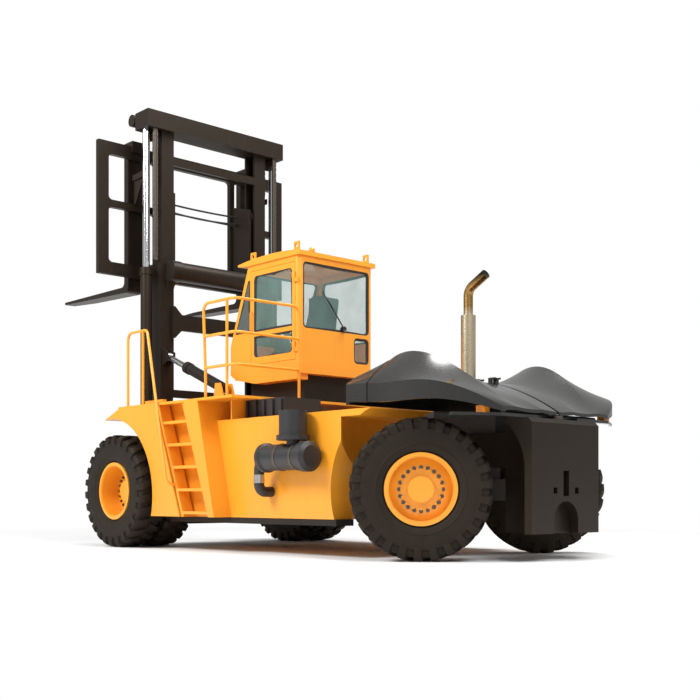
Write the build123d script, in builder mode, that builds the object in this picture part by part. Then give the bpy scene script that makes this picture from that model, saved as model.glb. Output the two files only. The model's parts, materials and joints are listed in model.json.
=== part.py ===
import os
from math import cos, hypot, radians, sin

from build123d import *

os.makedirs("parts", exist_ok=True)

# Millimetres. X points forward to the fork tips, Y to the left side, Z up from the ground.
sides = {"left": 1, "right": -1}

# Clearances: seated faces, turning fits, sliding fits, panel joints and rolling tyres
seat_gap = 0.3
turn_gap = 0.5
fork_gap = 5
slide_gap = 10
panel_gap = 6
tyre_gap = 50

# Wheels and axles
tyre_radius = 935
tyre_width = 500
lug_height = 40
lug_count = 18
lug_long = 100
lug_slant = 0.45
rim_radius = 450
rim_wall = 40
rim_lip = 28
disc_thick = 40
hub_wall = 60
dual_pitch = 580
half_width = 2350
front_axle_x = 2055
wheelbase = 6100
wheel_offset = 220
steer_rest = 43
king_radius = 60
spindle_radius = 110
axle_radius = 240
axle_z = tyre_radius
king_x = front_axle_x - wheelbase
outer_wheel_y = half_width - tyre_width / 2
inner_wheel_y = outer_wheel_y - dual_pitch
dual_face_y = inner_wheel_y - tyre_width / 2
king_y = dual_face_y

# Mast
outer_half = dual_face_y - tyre_gap
outer_web = 60
outer_flange = 60
outer_reach = 260
mast_rear_x = front_axle_x + 270
mast_depth = 450
outer_bottom_z = 350
outer_length = 4600
outer_top_z = outer_bottom_z + outer_length
saddle_wall = 70
saddle_y = (outer_half - 220, outer_half - 90)
tube_radius = 170
tube_x = mast_rear_x - 120
tube_z = outer_top_z - 150
plate_z = (outer_top_z - 1170, outer_top_z - 890)
inner_web = 55
inner_flange = 50
inner_reach = 250
lift_rest = 2225
inner_length = 4800
inner_bottom_z = outer_bottom_z + 25 + lift_rest
inner_top_z = inner_bottom_z + inner_length
beam_tall = 300
beam_z = inner_top_z - 120
lift_x = mast_rear_x + 180
barrel_radius = 100
rod_radius = 65
lift_y = outer_half + barrel_radius + 80
lift_foot_z = 2050
lift_foot_tall = 80
barrel_length = 2720
chain_y = outer_half + 100
chain_wide = 80
chain_thick = 40
chain_pitch = 100
sheave_radius = 150
tilt_y = outer_half - 110
bracket_reach = 125
pedestal_clear = 385
pedestal_half = tilt_y - bracket_reach - pedestal_clear
tilt_eye = (mast_rear_x - 90, 3290)
tilt_foot = (front_axle_x - 1450, 2620)
tilt_barrel_radius = 90
tilt_rod_radius = 50
tilt_pin_radius = 36

# Carriage and forks
carriage_half = half_width - 300
carriage_x = front_axle_x + tyre_radius + 15
bar_deep = 95
bar_tall = 220
fork_top_z = 4620
carriage_low_z = fork_top_z + 140
carriage_tall = 2340
carriage_high_z = carriage_low_z + carriage_tall
fork_y = outer_half + 30
fork_wide = 300
fork_thick = 140
fork_length = 2200
blade_thick = 110
tip_thick = 45
hook_tall = 110

# Frame and body
frame_half = 400
frame_wall = 60
frame_low_z = axle_z - 335
frame_step_z = axle_z + 305
frame_high_z = axle_z + 765
side_y = half_width - 150
mid_y = side_y - 320
tank_front_y = mid_y - 380
side_low_z = 530
mid_top_z = side_low_z + 1480
deck_z = mid_top_z + 290
deck_plate = 40
fender_inner_y = lift_y + barrel_radius + 60
fender_tip_x = front_axle_x + 490
arch_foot_x = front_axle_x - 970
steer_arch = tyre_radius + 190
tank_rear_x = king_x + 900
step_x = front_axle_x - 2700
ladder_wide = 760
ladder_lean = 700
ladder_deep = 220
ladder_steps = 5
rail_radius = 22
rail_top_z = deck_z + 1480
hoop_top_z = deck_z + 1250

# Cab
cab_rear_x = front_axle_x - 3000
cab_long = 1780
cab_slope = 490
cab_half = 800
cab_floor_z = deck_z + 630
cab_tall = 1690
cab_wall = 60
cab_corner = 90
cab_nose_x = cab_rear_x + cab_long
cab_post_x = cab_nose_x - cab_slope
cab_top_z = cab_floor_z + cab_tall
nose_top_z = cab_floor_z + 420
sill_z = cab_floor_z + 560
roof_thick = 110
visor_reach = 260
pane = 12
frame_edge = 80
eye_radius = 35

# Hood, engine and counterweight
hood_front_x = king_x + 945
lid_front_x = king_x + 520
hood_peak_x = king_x + 85
lid_slope_x = king_x - 755
lid_rear_x = king_x - 1270
hood_skin = 45
hood_inner_y = 30
hood_crest_y = king_y + 30
hood_edge_y = king_y + 490
hood_low_z = mid_top_z + 70
weight_front_x = king_x - 710
weight_rear_x = king_x - 1400
weight_low_z = 360
weight_tall = 1490
weight_top_z = weight_low_z + weight_tall
weight_half = king_y - 550
hood_rear_y = king_y - 150
tow_radius = 40
stack_radius = 110
pipe_radius = 70


def slab(x, y, z, mode=Mode.ADD):
    with Locations((sum(x) / 2, sum(y) / 2, sum(z) / 2)):
        Box(abs(x[1] - x[0]), abs(y[1] - y[0]), abs(z[1] - z[0]), mode=mode)


def bar(start, end, radius, mode=Mode.ADD):
    span = Vector(*end) - Vector(*start)
    with Locations(Plane(origin=start, z_dir=span)):
        Cylinder(radius, span.length, align=(Align.CENTER, Align.CENTER, Align.MIN), mode=mode)


def cross_bar(x, z, y, radius, mode=Mode.ADD):
    bar((x, y[0], z), (x, y[1], z), radius, mode)


def post_bar(x, y, z, radius, mode=Mode.ADD):
    bar((x, y, z[0]), (x, y, z[1]), radius, mode)


def tube_run(points, radius, bend):
    with BuildLine() as run:
        FilletPolyline(*points, radius=bend)
    with BuildSketch(run.line ^ 0) as ring:
        Circle(radius)
    sweep(ring.sketch, path=run.line)


def side_plate(points, y, mode=Mode.ADD):
    with BuildSketch(Plane.XZ.offset(-max(y))) as outline:
        with BuildLine():
            Polyline(*points, close=True)
        make_face()
    extrude(outline.sketch, amount=abs(y[1] - y[0]), mode=mode)


def finish(piece, name):
    piece.part.label = name
    export_step(piece.part, f"parts/{name}.step")


def wheel_plane(x, y, yaw, out):
    turn = radians(yaw)
    axle = (-out * sin(turn), out * cos(turn), 0)
    ahead = (out * cos(turn), out * sin(turn), 0)
    return Plane(origin=(x, y, axle_z), x_dir=axle, z_dir=ahead)


# Tyre: a carcass turned about the axle, with a ring of slanted shoulder lugs on each half of its crown
bead_y = tyre_width / 2 - 70
crown_radius = tyre_radius - lug_height
wall_radius = (rim_radius + crown_radius) / 2


def tyre(plane):
    low = rim_radius + seat_gap
    edge = [(bead_y, low), (bead_y, low + 40), (tyre_width / 2 - 8, wall_radius - 90),
            (tyre_width / 2, wall_radius + 30),
            (tyre_width / 2 - 20, crown_radius - 20), (tyre_width / 2 - 60, crown_radius)]
    with BuildSketch(plane) as section:
        with BuildLine():
            Polyline(*edge, *[(-u, v) for u, v in reversed(edge)], close=True)
        make_face()
    revolve(section.sketch, axis=Axis(plane.origin, plane.x_dir))
    lug_reach = tyre_width * 0.4
    places = []
    for index in range(lug_count):
        for out in (1, -1):
            turn = radians(360 / lug_count * (index + 0.25 * out))
            radial = plane.y_dir * cos(turn) + plane.z_dir * sin(turn)
            ahead = plane.z_dir * cos(turn) - plane.y_dir * sin(turn)
            rise = tyre_radius - lug_height / 2 - 10
            middle = plane.origin + radial * rise + plane.x_dir * (out * tyre_width * 0.27)
            places.append(Plane(middle, x_dir=plane.x_dir + ahead * (out * lug_slant), z_dir=radial))
    with Locations(*places):
        Box(lug_reach, lug_long, lug_height + 10)


# Rim: barrel with two lips, a dished disc, a hub sleeve and a hub cap, all turned about the axle
def rim(plane, disc_at, capped):
    inside = rim_radius - rim_wall
    bore = spindle_radius + turn_gap
    lip_at = bead_y + 3 + rim_lip / 2
    with BuildSketch(plane) as section:
        for u, v, wide, tall in [(0, rim_radius - rim_wall / 2, 2 * lip_at, rim_wall),
                                 (lip_at, rim_radius, rim_lip, 50),
                                 (-lip_at, rim_radius, rim_lip, 50),
                                 (disc_at - 20, bore + hub_wall / 2, 120, hub_wall)]:
            with Locations((u, v)):
                Rectangle(wide, tall)
        if capped:
            with Locations((disc_at + 65, (bore + hub_wall) / 2)):
                Rectangle(52, bore + hub_wall)
        with BuildLine():
            Polyline((disc_at - 20, bore + 10), (disc_at + 20, bore + 10), (disc_at + 20, inside - 110),
                     (disc_at - 20, inside + 10),
                     (disc_at - 20 - disc_thick, inside + 10), (disc_at - 20, inside - 110), close=True)
        make_face()
    revolve(section.sketch, axis=Axis(plane.origin, plane.x_dir))


# Each dual pair shares a hub drum
drum_radius = rim_radius - 130
drive_disc = 100
for hand, side in sides.items():
    with BuildPart() as drive_tyres:
        for y in (outer_wheel_y, inner_wheel_y):
            tyre(wheel_plane(front_axle_x, side * y, 0, side))
    finish(drive_tyres, f"drive_tyres_{hand}")
    with BuildPart() as drive_rims:
        rim(wheel_plane(front_axle_x, side * outer_wheel_y, 0, side), -drive_disc, True)
        rim(wheel_plane(front_axle_x, side * inner_wheel_y, 0, side), drive_disc, False)
        drum_y = (side * (inner_wheel_y + drive_disc + 10), side * (outer_wheel_y - drive_disc - 10))
        cross_bar(front_axle_x, axle_z, drum_y, drum_radius)
        cross_bar(front_axle_x, axle_z, drum_y, drum_radius - 40, mode=Mode.SUBTRACT)
    finish(drive_rims, f"drive_rims_{hand}")

# Each steered wheel turns on the spindle of its own knuckle
knuckle_tall = 330
ear_z = 135
for hand, side in sides.items():
    turn = radians(steer_rest)
    out = Vector(-side * sin(turn), side * cos(turn), 0)
    king = Vector(king_x, side * king_y, axle_z)
    hub = king + out * wheel_offset
    plane = wheel_plane(hub.X, hub.Y, steer_rest, side)
    with BuildPart() as steer_tyre:
        tyre(plane)
    finish(steer_tyre, f"steer_tyre_{hand}")
    with BuildPart() as steer_rim:
        rim(plane, 80, True)
        with Locations(Plane(plane.origin + plane.x_dir * 100, x_dir=plane.y_dir, z_dir=plane.x_dir)):
            with PolarLocations(rim_radius - rim_wall - 150, 16):
                Cylinder(16, 40)
    finish(steer_rim, f"steer_rim_{hand}")
    with BuildPart() as knuckle:
        post_bar(king.X, king.Y, (axle_z - knuckle_tall / 2, axle_z + knuckle_tall / 2), king_radius)
        for lift in (ear_z, -ear_z):
            with Locations((king.X, king.Y, axle_z + lift)):
                Cylinder(king_radius * 2, 55)
            with Locations(Plane(king + out * 75 + Vector(0, 0, lift), x_dir=(0, 0, 1), z_dir=out)):
                Box(55, 200, 150)
        with Locations(Plane(king + out * 150, x_dir=(0, 0, 1), z_dir=out)):
            Box(knuckle_tall - 5, 200, 40)
        bar(king + out * 165, hub + out * 90, spindle_radius)
    finish(knuckle, f"steer_knuckle_{hand}")

# Drive axle: banjo housing, tapered arms and spindles
axle_half = saddle_y[1] + 20
with BuildPart() as drive_axle:
    with BuildSketch(Plane.XY) as housing:
        with BuildLine():
            Polyline((0, 0), (axle_half, 0), (axle_half, axle_radius), (saddle_y[0] - 60, axle_radius),
                     (330, 260), (230, 315), (0, 315),
                     close=True)
        make_face()
    half_housing = revolve(housing.sketch, axis=Axis.X, mode=Mode.PRIVATE)
    for side in (1, -1):
        with Locations(Plane((front_axle_x, 0, axle_z), x_dir=(0, side, 0), z_dir=(0, 0, 1))):
            add(half_housing)
    cross_bar(front_axle_x, axle_z, (100 - outer_wheel_y, outer_wheel_y - 100), spindle_radius)
    slab((front_axle_x - 420, front_axle_x - 150), (-frame_half, frame_half), (axle_z - 120, axle_z + 250))
finish(drive_axle, "drive_axle")

# Steer axle: a box beam waisted to the king-pin bosses
boss_radius = 130
boss_tall = 190
with BuildPart() as steer_axle:
    with BuildSketch(Plane.XY.offset(axle_z - 150)) as beam:
        with BuildLine():
            Polyline((king_x - 220, -500), (king_x - 110, 120 - king_y), (king_x + 110, 120 - king_y),
                     (king_x + 220, -500),
                     (king_x + 220, 500), (king_x + 110, king_y - 120), (king_x - 110, king_y - 120),
                     (king_x - 220, 500), close=True)
        make_face()
    extrude(beam.sketch, amount=300)
    for side in (1, -1):
        slab((king_x - 300, king_x + 300), (side * (king_y - 480), side * king_y),
             (axle_z + boss_tall / 2, axle_z + 200), mode=Mode.SUBTRACT)
        slab((king_x - 300, king_x + 300), (side * (king_y - 480), side * king_y),
             (axle_z - 200, axle_z - boss_tall / 2), mode=Mode.SUBTRACT)
        with Locations((king_x, side * king_y, axle_z)):
            Cylinder(boss_radius, boss_tall)
            Cylinder(king_radius + turn_gap, 2 * boss_tall, mode=Mode.SUBTRACT)
    slab((king_x - 120, king_x + 120), (-200, 200), (axle_z + 140, frame_step_z))
finish(steer_axle, "steer_axle")

# Frame: two deep rails stepped up over the steer axle, with floor and end plates
frame_front_x = front_axle_x - 420
step_rail_x = king_x + 1250
with BuildPart() as main_frame:
    rail = [(weight_front_x, frame_step_z), (step_rail_x - 200, frame_step_z), (step_rail_x, frame_low_z),
            (frame_front_x, frame_low_z),
            (frame_front_x, frame_high_z), (weight_front_x, frame_high_z)]
    for side in (1, -1):
        side_plate(rail, (side * (frame_half - frame_wall), side * frame_half))
    slab((step_rail_x, frame_front_x), (-frame_half, frame_half), (frame_low_z, frame_low_z + frame_wall))
    slab((weight_front_x, step_rail_x), (-frame_half, frame_half),
         (frame_step_z, frame_step_z + frame_wall))
    slab((frame_front_x - 100, frame_front_x), (-frame_half, frame_half), (axle_z + 250, frame_high_z))
finish(main_frame, "main_frame")

with BuildPart() as engine_block:
    slab((king_x - 450, king_x + 2050), (-frame_half + 100, frame_half - 100),
         (frame_step_z + frame_wall + seat_gap, mid_top_z - 60))
finish(engine_block, "engine_block")

# Counterweight: a cast block whose sides are arched clear of the steered wheels,
# with a tow slot, a half-round foot pocket and two small square pockets
weight_foot = 115
weight_reach = 445
arch_z = weight_low_z + 890
with BuildPart() as counterweight:
    slab((weight_rear_x, weight_front_x), (-frame_half, frame_half), (weight_low_z, weight_top_z))
    with BuildSketch(Plane.XZ.offset(-weight_half)) as flank:
        with BuildLine():
            Polyline((weight_rear_x + weight_foot, arch_z), (weight_rear_x + weight_foot, weight_low_z),
                     (weight_rear_x, weight_low_z), (weight_rear_x, weight_top_z),
                     (weight_rear_x + weight_reach, weight_top_z),
                     (weight_rear_x + weight_reach, weight_top_z - 40))
            ThreePointArc((weight_rear_x + weight_reach, weight_top_z - 40),
                          (weight_rear_x + weight_foot + 90, arch_z + 290),
                          (weight_rear_x + weight_foot, arch_z))
        make_face()
    extrude(flank.sketch, amount=2 * weight_half)
    chamfer(counterweight.edges().group_by(Axis.Z)[-1].sort_by(Axis.X)[0], 60)
    slab((weight_rear_x - 10, weight_rear_x + 220), (-60, 60), (weight_low_z + 490, weight_low_z + 820),
         mode=Mode.SUBTRACT)
    with Locations(Plane((weight_rear_x, 0, weight_low_z + 160), z_dir=(-1, 0, 0))):
        Cylinder(260, 300, mode=Mode.SUBTRACT)
    slab((weight_rear_x - 10, weight_rear_x + 150), (-260, 260), (weight_low_z - 10, weight_low_z + 160),
         mode=Mode.SUBTRACT)
    for y in (-230, 230):
        slab((weight_rear_x - 10, weight_rear_x + 60), (y - 40, y + 40),
             (weight_low_z + 520, weight_low_z + 600), mode=Mode.SUBTRACT)
    tow_x = weight_rear_x + 150
    post_bar(tow_x, 0, (weight_low_z + 430, weight_top_z + 50), tow_radius, mode=Mode.SUBTRACT)
finish(counterweight, "counterweight")

with BuildPart() as tow_pin:
    post_bar(tow_x, 0, (weight_low_z + 440, weight_top_z + 50), tow_radius - seat_gap)
    post_bar(tow_x, 0, (weight_top_z + seat_gap, weight_top_z + 50), tow_radius * 1.8)
finish(tow_pin, "tow_pin")

# Side tanks: full-depth boxes with a raked front edge, cut away round the sweep of the steered wheels
step_lean = 430
step_rake = step_lean / (deck_z - side_low_z)
steer_sweep = hypot(tyre_radius, wheel_offset + tyre_width / 2) + tyre_gap
tank_top_x = step_x + step_rake * (mid_top_z - side_low_z) - seat_gap
for hand, side in sides.items():
    inner = side * (frame_half + seat_gap)
    with BuildPart() as side_tank:
        side_plate([(tank_rear_x, side_low_z), (step_x - seat_gap, side_low_z), (tank_top_x, mid_top_z),
                    (king_x + 250, mid_top_z),
                    (king_x + 250, mid_top_z - 140), (tank_rear_x - 200, mid_top_z - 500)],
                   (inner, side * mid_y))
        slab((step_x - 100, arch_foot_x), (inner, side * (fender_inner_y - seat_gap)),
             (side_low_z, mid_top_z))
        cross_bar(king_x, axle_z, (-half_width, half_width), steer_arch, mode=Mode.SUBTRACT)
        post_bar(king_x, side * king_y, (0, 2 * tyre_radius + tyre_gap), steer_sweep, mode=Mode.SUBTRACT)
        slab((king_x, tank_rear_x), (inner, side * (frame_half + 320)), (side_low_z, mid_top_z + 10),
             mode=Mode.SUBTRACT)
    finish(side_tank, f"side_tank_{hand}")

# Sills: a plain bar under each side tank
with BuildPart() as side_sills:
    for side in (1, -1):
        slab((tank_rear_x + 120, arch_foot_x - 60), (side * (mid_y - 330), side * (mid_y - 10)),
             (side_low_z - 90, side_low_z - seat_gap))
finish(side_sills, "side_sills")

# Fenders: one arched skirt over each dual pair, with a pointed nose and a raked recess for the ladder
tip_z = deck_z - 160
arch_mid = (front_axle_x - 550, axle_z + 915)
ladder_foot_x = step_x + 120
ladder_rake = ladder_lean / (deck_z - side_low_z)
recess_edge = 30
recess_deep = ladder_deep + 40


def on_ladder(z):
    return ladder_foot_x + ladder_rake * (z - side_low_z)


with BuildPart() as front_fenders:
    for side in (1, -1):
        y = (side * fender_inner_y, side * side_y)
        with BuildSketch(Plane.XZ.offset(-max(y))) as skirt:
            with BuildLine():
                Polyline((arch_foot_x, side_low_z), (step_x, side_low_z), (step_x + step_lean, deck_z),
                         (front_axle_x + 50, deck_z),
                         (fender_tip_x, tip_z))
                ThreePointArc((fender_tip_x, tip_z), arch_mid, (arch_foot_x, side_low_z))
            make_face()
        extrude(skirt.sketch, amount=side_y - fender_inner_y)
        low, high = side_low_z - 10, deck_z + 10
        side_plate([(on_ladder(low) - recess_edge, low), (on_ladder(low) + ladder_wide + recess_edge, low),
                    (on_ladder(high) + ladder_wide + recess_edge, high),
                    (on_ladder(high) - recess_edge, high)],
                   (side * (side_y - recess_deep), side * (side_y + 10)), mode=Mode.SUBTRACT)
finish(front_fenders, "front_fenders")

deck_rear_x = step_x - 450
deck_front_x = front_axle_x - 600
with BuildPart() as deck:
    slab((deck_rear_x, deck_front_x), (-side_y, side_y), (deck_z + seat_gap, deck_z + deck_plate))
    for side in (1, -1):
        slab((deck_front_x, front_axle_x + 40), (side * (fender_inner_y + 40), side * side_y),
             (deck_z + seat_gap, deck_z + deck_plate))
        slab((deck_front_x + 100, front_axle_x + 40),
             (side * (fender_inner_y + 40), side * (fender_inner_y + 120)),
             (deck_z + deck_plate, deck_z + 170))
finish(deck, "deck")

# Service boxes: ribbed housings under the rear edge of the deck
with BuildPart() as service_boxes:
    box_x = (deck_rear_x - 550, step_x - 70)
    box_y = mid_y - 230
    for side in (1, -1):
        slab(box_x, (side * (box_y - 700), side * box_y), (mid_top_z + seat_gap, deck_z))
        for index in range(5):
            x = box_x[0] + 60 + index * (box_x[1] - box_x[0] - 120) / 4
            slab((x - 20, x + 20), (side * (box_y - 10), side * (box_y + 35)),
                 (mid_top_z + 30, deck_z - 20))
finish(service_boxes, "service_boxes")

# Ladders: two raked stiles and five treads on each side
stile_wide = 55
tread_thick = 45
ladder_y = (side_y - ladder_deep, side_y - 20)
with BuildPart() as ladders:
    for side in (1, -1):
        y = (side * ladder_y[0], side * ladder_y[1])
        for across in (0, ladder_wide - stile_wide):
            side_plate([(ladder_foot_x + across, side_low_z),
                        (ladder_foot_x + across + stile_wide, side_low_z),
                        (on_ladder(deck_z) + across + stile_wide, deck_z),
                        (on_ladder(deck_z) + across, deck_z)], y)
        for step in range(ladder_steps):
            z = side_low_z + 40 + step * (deck_z - side_low_z) / ladder_steps
            slab((on_ladder(z) + 30, on_ladder(z) + ladder_wide - 10), y, (z, z + tread_thick))
finish(ladders, "ladders")

# Handrails: a corner rail beside the cab, and a hoop whose rear leg runs down before the ladder to its stile
rail_bend = 120
rail_y = side_y - 100
rail_foot_z = deck_z + deck_plate + seat_gap
hoop_x = (front_axle_x - 780, front_axle_x - 190)
grip_y = side_y + 150
cab_rail_y = cab_half + 75
with BuildPart() as handrails:
    corner_x = deck_rear_x + 50
    front_x = step_x + step_lean - 80
    tube_run([(front_x, rail_y, rail_foot_z), (front_x, rail_y, deck_z + 400),
              (front_x + 60, rail_y, rail_top_z),
              (corner_x, rail_y, rail_top_z), (corner_x, cab_rail_y, rail_top_z),
              (corner_x, cab_rail_y, rail_foot_z)],
             rail_radius, rail_bend)
    for z in (deck_z + 500, deck_z + 980):
        tube_run([(front_x + 20, rail_y, z), (corner_x, rail_y, z), (corner_x, cab_rail_y, z)], rail_radius,
                 rail_bend)
    post_bar(corner_x + 200, rail_y, (rail_foot_z, rail_top_z), rail_radius)
    stile_z = side_low_z + 500
    stile_x = on_ladder(stile_z) + ladder_wide - stile_wide / 2
    for side in (1, -1):
        y = side * (side_y - 50)
        tube_run([(hoop_x[1], y, rail_foot_z), (hoop_x[1], y, hoop_top_z), (hoop_x[0], y, hoop_top_z),
                  (stile_x, side * grip_y, stile_z), (stile_x, side * (ladder_y[1] + seat_gap), stile_z)],
                 rail_radius, rail_bend)
        post_bar(hoop_x[0] + 130, y, (rail_foot_z, hoop_top_z), rail_radius)
finish(handrails, "handrails")

# Cab: platform on a dark pedestal, shell, roof, panes and a hinged door on the left
with BuildPart() as cab_pedestal:
    slab((cab_rear_x + 100, cab_nose_x - 300), (-pedestal_half, pedestal_half),
         (rail_foot_z, cab_floor_z - 160 - seat_gap))
finish(cab_pedestal, "cab_pedestal")

with BuildPart() as cab_base:
    side_plate([(cab_rear_x - 60, cab_floor_z - 160), (cab_nose_x - 160, cab_floor_z - 160),
                (cab_nose_x, cab_floor_z - 60),
                (cab_nose_x, cab_floor_z - seat_gap), (cab_rear_x - 60, cab_floor_z - seat_gap)],
               (-cab_half, cab_half))
    side_plate([(cab_rear_x, cab_floor_z - 250), (cab_nose_x - 700, cab_floor_z - 250),
                (cab_nose_x - 160, cab_floor_z - 150),
                (cab_nose_x - 160, cab_floor_z - 80), (cab_rear_x, cab_floor_z - 80)],
               (cab_half - 190, cab_half + 30))
finish(cab_base, "cab_base")

cab_side = [(cab_rear_x, cab_floor_z), (cab_nose_x, cab_floor_z), (cab_nose_x, nose_top_z),
            (cab_post_x, cab_top_z), (cab_rear_x, cab_top_z)]
cab_inner = [(cab_rear_x + cab_wall, cab_floor_z + cab_wall),
             (cab_nose_x - cab_wall, cab_floor_z + cab_wall),
             (cab_nose_x - cab_wall, nose_top_z - 15), (cab_post_x - 80, cab_top_z + 20),
             (cab_rear_x + cab_wall, cab_top_z + 20)]
door_x = (cab_rear_x + frame_edge, cab_post_x - 70)
door_z = (cab_floor_z + cab_wall, cab_top_z - 90)
hinge_x = door_x[0] + panel_gap
hinge_y = cab_half + 22
hinge_z = (cab_floor_z + 250, cab_top_z - 350)
slope_tall = cab_top_z - nose_top_z
slope_long = hypot(slope_tall, cab_slope)
slope_plane = Plane(((cab_post_x + cab_nose_x) / 2, 0, (nose_top_z + cab_top_z) / 2), x_dir=(0, 1, 0),
                    z_dir=(slope_tall, 0, cab_slope))
front_window = (2 * cab_half - 180, slope_long - 170)
rear_window = (2 * cab_half - 180, door_z[1] - sill_z)
small_window = (330, sill_z - cab_floor_z - 140)
window_corner = 70


def rear_plane(y, z):
    return Plane((cab_rear_x, y, z), x_dir=(0, -1, 0), z_dir=(-1, 0, 0))


def window(width, height, corner, deep):
    with BuildSketch(Plane.XY) as outline:
        RectangleRounded(width, height, corner)
    return extrude(outline.sketch, amount=deep, both=True, mode=Mode.PRIVATE)


windows = [(slope_plane, *front_window), (rear_plane(0, (sill_z + door_z[1]) / 2), *rear_window),
           (rear_plane(260 - cab_half, (cab_floor_z + 80 + sill_z - 60) / 2), *small_window),
           (Plane(((door_x[0] + door_x[1]) / 2, -cab_half, (cab_floor_z + 450 + door_z[1]) / 2),
                  x_dir=(1, 0, 0), z_dir=(0, -1, 0)),
            door_x[1] - door_x[0], door_z[1] - cab_floor_z - 450)]
with BuildPart() as cab_shell:
    side_plate(cab_side, (-cab_half, cab_half))
    fillet(cab_shell.edges().filter_by(Axis.Z).group_by(Axis.X)[0], cab_corner)
    side_plate(cab_inner, (cab_wall - cab_half, cab_half - cab_wall), mode=Mode.SUBTRACT)
    slab(door_x, (cab_half - 100, cab_half + 10), door_z, mode=Mode.SUBTRACT)
    for place, width, height in windows:
        with Locations(place):
            add(window(width, height, window_corner, 2 * cab_wall), mode=Mode.SUBTRACT)
    for z in hinge_z:
        slab((hinge_x - 75, hinge_x - 8), (cab_half - 10, hinge_y), (z - 70, z - turn_gap))
        post_bar(hinge_x, hinge_y, (z - 70, z - turn_gap), 18)
finish(cab_shell, "cab_shell")

with BuildPart() as cab_glass:
    for place, width, height in windows:
        with Locations(place.offset(-cab_wall / 2)):
            add(window(width - 2 * seat_gap, height - 2 * seat_gap, window_corner - seat_gap, pane / 2))
finish(cab_glass, "cab_glass")

# Roof: a crowned slab with a forward visor, rounded corners and four lifting eyes
eye_z = cab_top_z + 165
eye_x = (cab_rear_x + 110, cab_post_x - 60)
beacon_x = cab_rear_x + cab_long * 0.35
beacon_z = cab_top_z + roof_thick + 30
with BuildPart() as cab_roof:
    roof_low = cab_top_z + seat_gap
    visor_x = cab_post_x + visor_reach
    with BuildSketch(Plane.XZ.offset(-(cab_half + 30))) as roof:
        with BuildLine():
            Polyline((cab_rear_x - 40, cab_top_z + 70), (cab_rear_x - 40, roof_low), (cab_post_x, roof_low),
                     (visor_x, roof_low + 30),
                     (visor_x, roof_low + 55))
            ThreePointArc((visor_x, roof_low + 55), (cab_post_x - 500, cab_top_z + roof_thick),
                          (cab_rear_x - 40, cab_top_z + 70))
        make_face()
    extrude(roof.sketch, amount=2 * (cab_half + 30))
    fillet(cab_roof.edges().filter_by(Axis.Z), 20)
    post_bar(beacon_x, 0, (cab_top_z + 50, beacon_z), 85)
    for x in eye_x:
        for y in (60 - cab_half, cab_half - 60):
            slab((x - 60, x + 60), (y - 15, y + 15), (cab_top_z + 50, eye_z + 65))
            cross_bar(x, eye_z, (y - 40, y + 40), eye_radius, mode=Mode.SUBTRACT)
finish(cab_roof, "cab_roof")

door_edge = (door_x[0] + panel_gap, door_x[1] - panel_gap)
door_mid = Plane(((door_x[0] + door_x[1]) / 2, cab_half - 25, (door_z[0] + door_z[1]) / 2 + 15),
                 x_dir=(1, 0, 0), z_dir=(0, -1, 0))
door_window = (door_x[1] - door_x[0] - 2 * frame_edge, door_z[1] - door_z[0] - 210)
with BuildPart() as cab_door:
    slab(door_edge, (cab_half - 50, cab_half), (door_z[0] + panel_gap, door_z[1] - panel_gap))
    with Locations(door_mid):
        add(window(*door_window, window_corner, 40), mode=Mode.SUBTRACT)
    slab((door_edge[0] + 30, door_edge[1] - 30), (cab_half - 50, cab_half), (sill_z - 35, sill_z + 35))
    for z in hinge_z:
        slab((hinge_x - 5, hinge_x + 60), (cab_half - 10, hinge_y), (z, z + 90))
        post_bar(hinge_x, hinge_y, (z, z + 90), 18)
    tube_run([(door_edge[1] - 40, cab_half - 10, sill_z + 60),
              (door_edge[1] - 40, cab_half + 50, sill_z + 60),
              (door_edge[1] - 40, cab_half + 50, sill_z + 360),
              (door_edge[1] - 40, cab_half - 10, sill_z + 360)], 12, 25)
finish(cab_door, "cab_door")

with BuildPart() as door_glass:
    with Locations(door_mid):
        add(window(door_window[0] - 2 * seat_gap, door_window[1] - 2 * seat_gap, window_corner - seat_gap,
                   pane / 2))
    slab(door_edge, (cab_half - 60, cab_half + 10), (sill_z - 35 - seat_gap, sill_z + 35 + seat_gap),
         mode=Mode.SUBTRACT)
finish(door_glass, "door_glass")

chair_x = cab_rear_x + 350
chair_half = 260
cushion_z = cab_floor_z + 460
chair_top_z = cab_floor_z + cab_tall * 0.68
with BuildPart() as operator_chair:
    slab((chair_x, chair_x + 540), (-chair_half, chair_half), (cushion_z - 130, cushion_z))
    side_plate([(chair_x, cushion_z), (chair_x + 120, cushion_z), (chair_x - 20, chair_top_z),
                (chair_x - 110, chair_top_z)],
               (-chair_half, chair_half))
    fillet(operator_chair.edges().filter_by(Axis.X), 50)
    slab((chair_x + 120, chair_x + 430), (-150, 150), (cab_floor_z + cab_wall + seat_gap, cushion_z - 130))
finish(operator_chair, "operator_chair")

console_x = cab_post_x + 90
wheel_z = cab_floor_z + 700
with BuildPart() as steering_console:
    side_plate([(console_x - 70, cab_floor_z + cab_wall + seat_gap),
                (console_x + 120, cab_floor_z + cab_wall + seat_gap),
                (console_x + 40, wheel_z - 80), (console_x - 40, wheel_z - 80)], (-120, 120))
    with Locations(Plane((console_x - 110, 0, wheel_z), z_dir=(-0.5, 0, 1))):
        Torus(190, 16)
        Box(370, 40, 16)
    bar((console_x - 30, 0, wheel_z - 140), (console_x - 110, 0, wheel_z), 35)
finish(steering_console, "steering_console")

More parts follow.
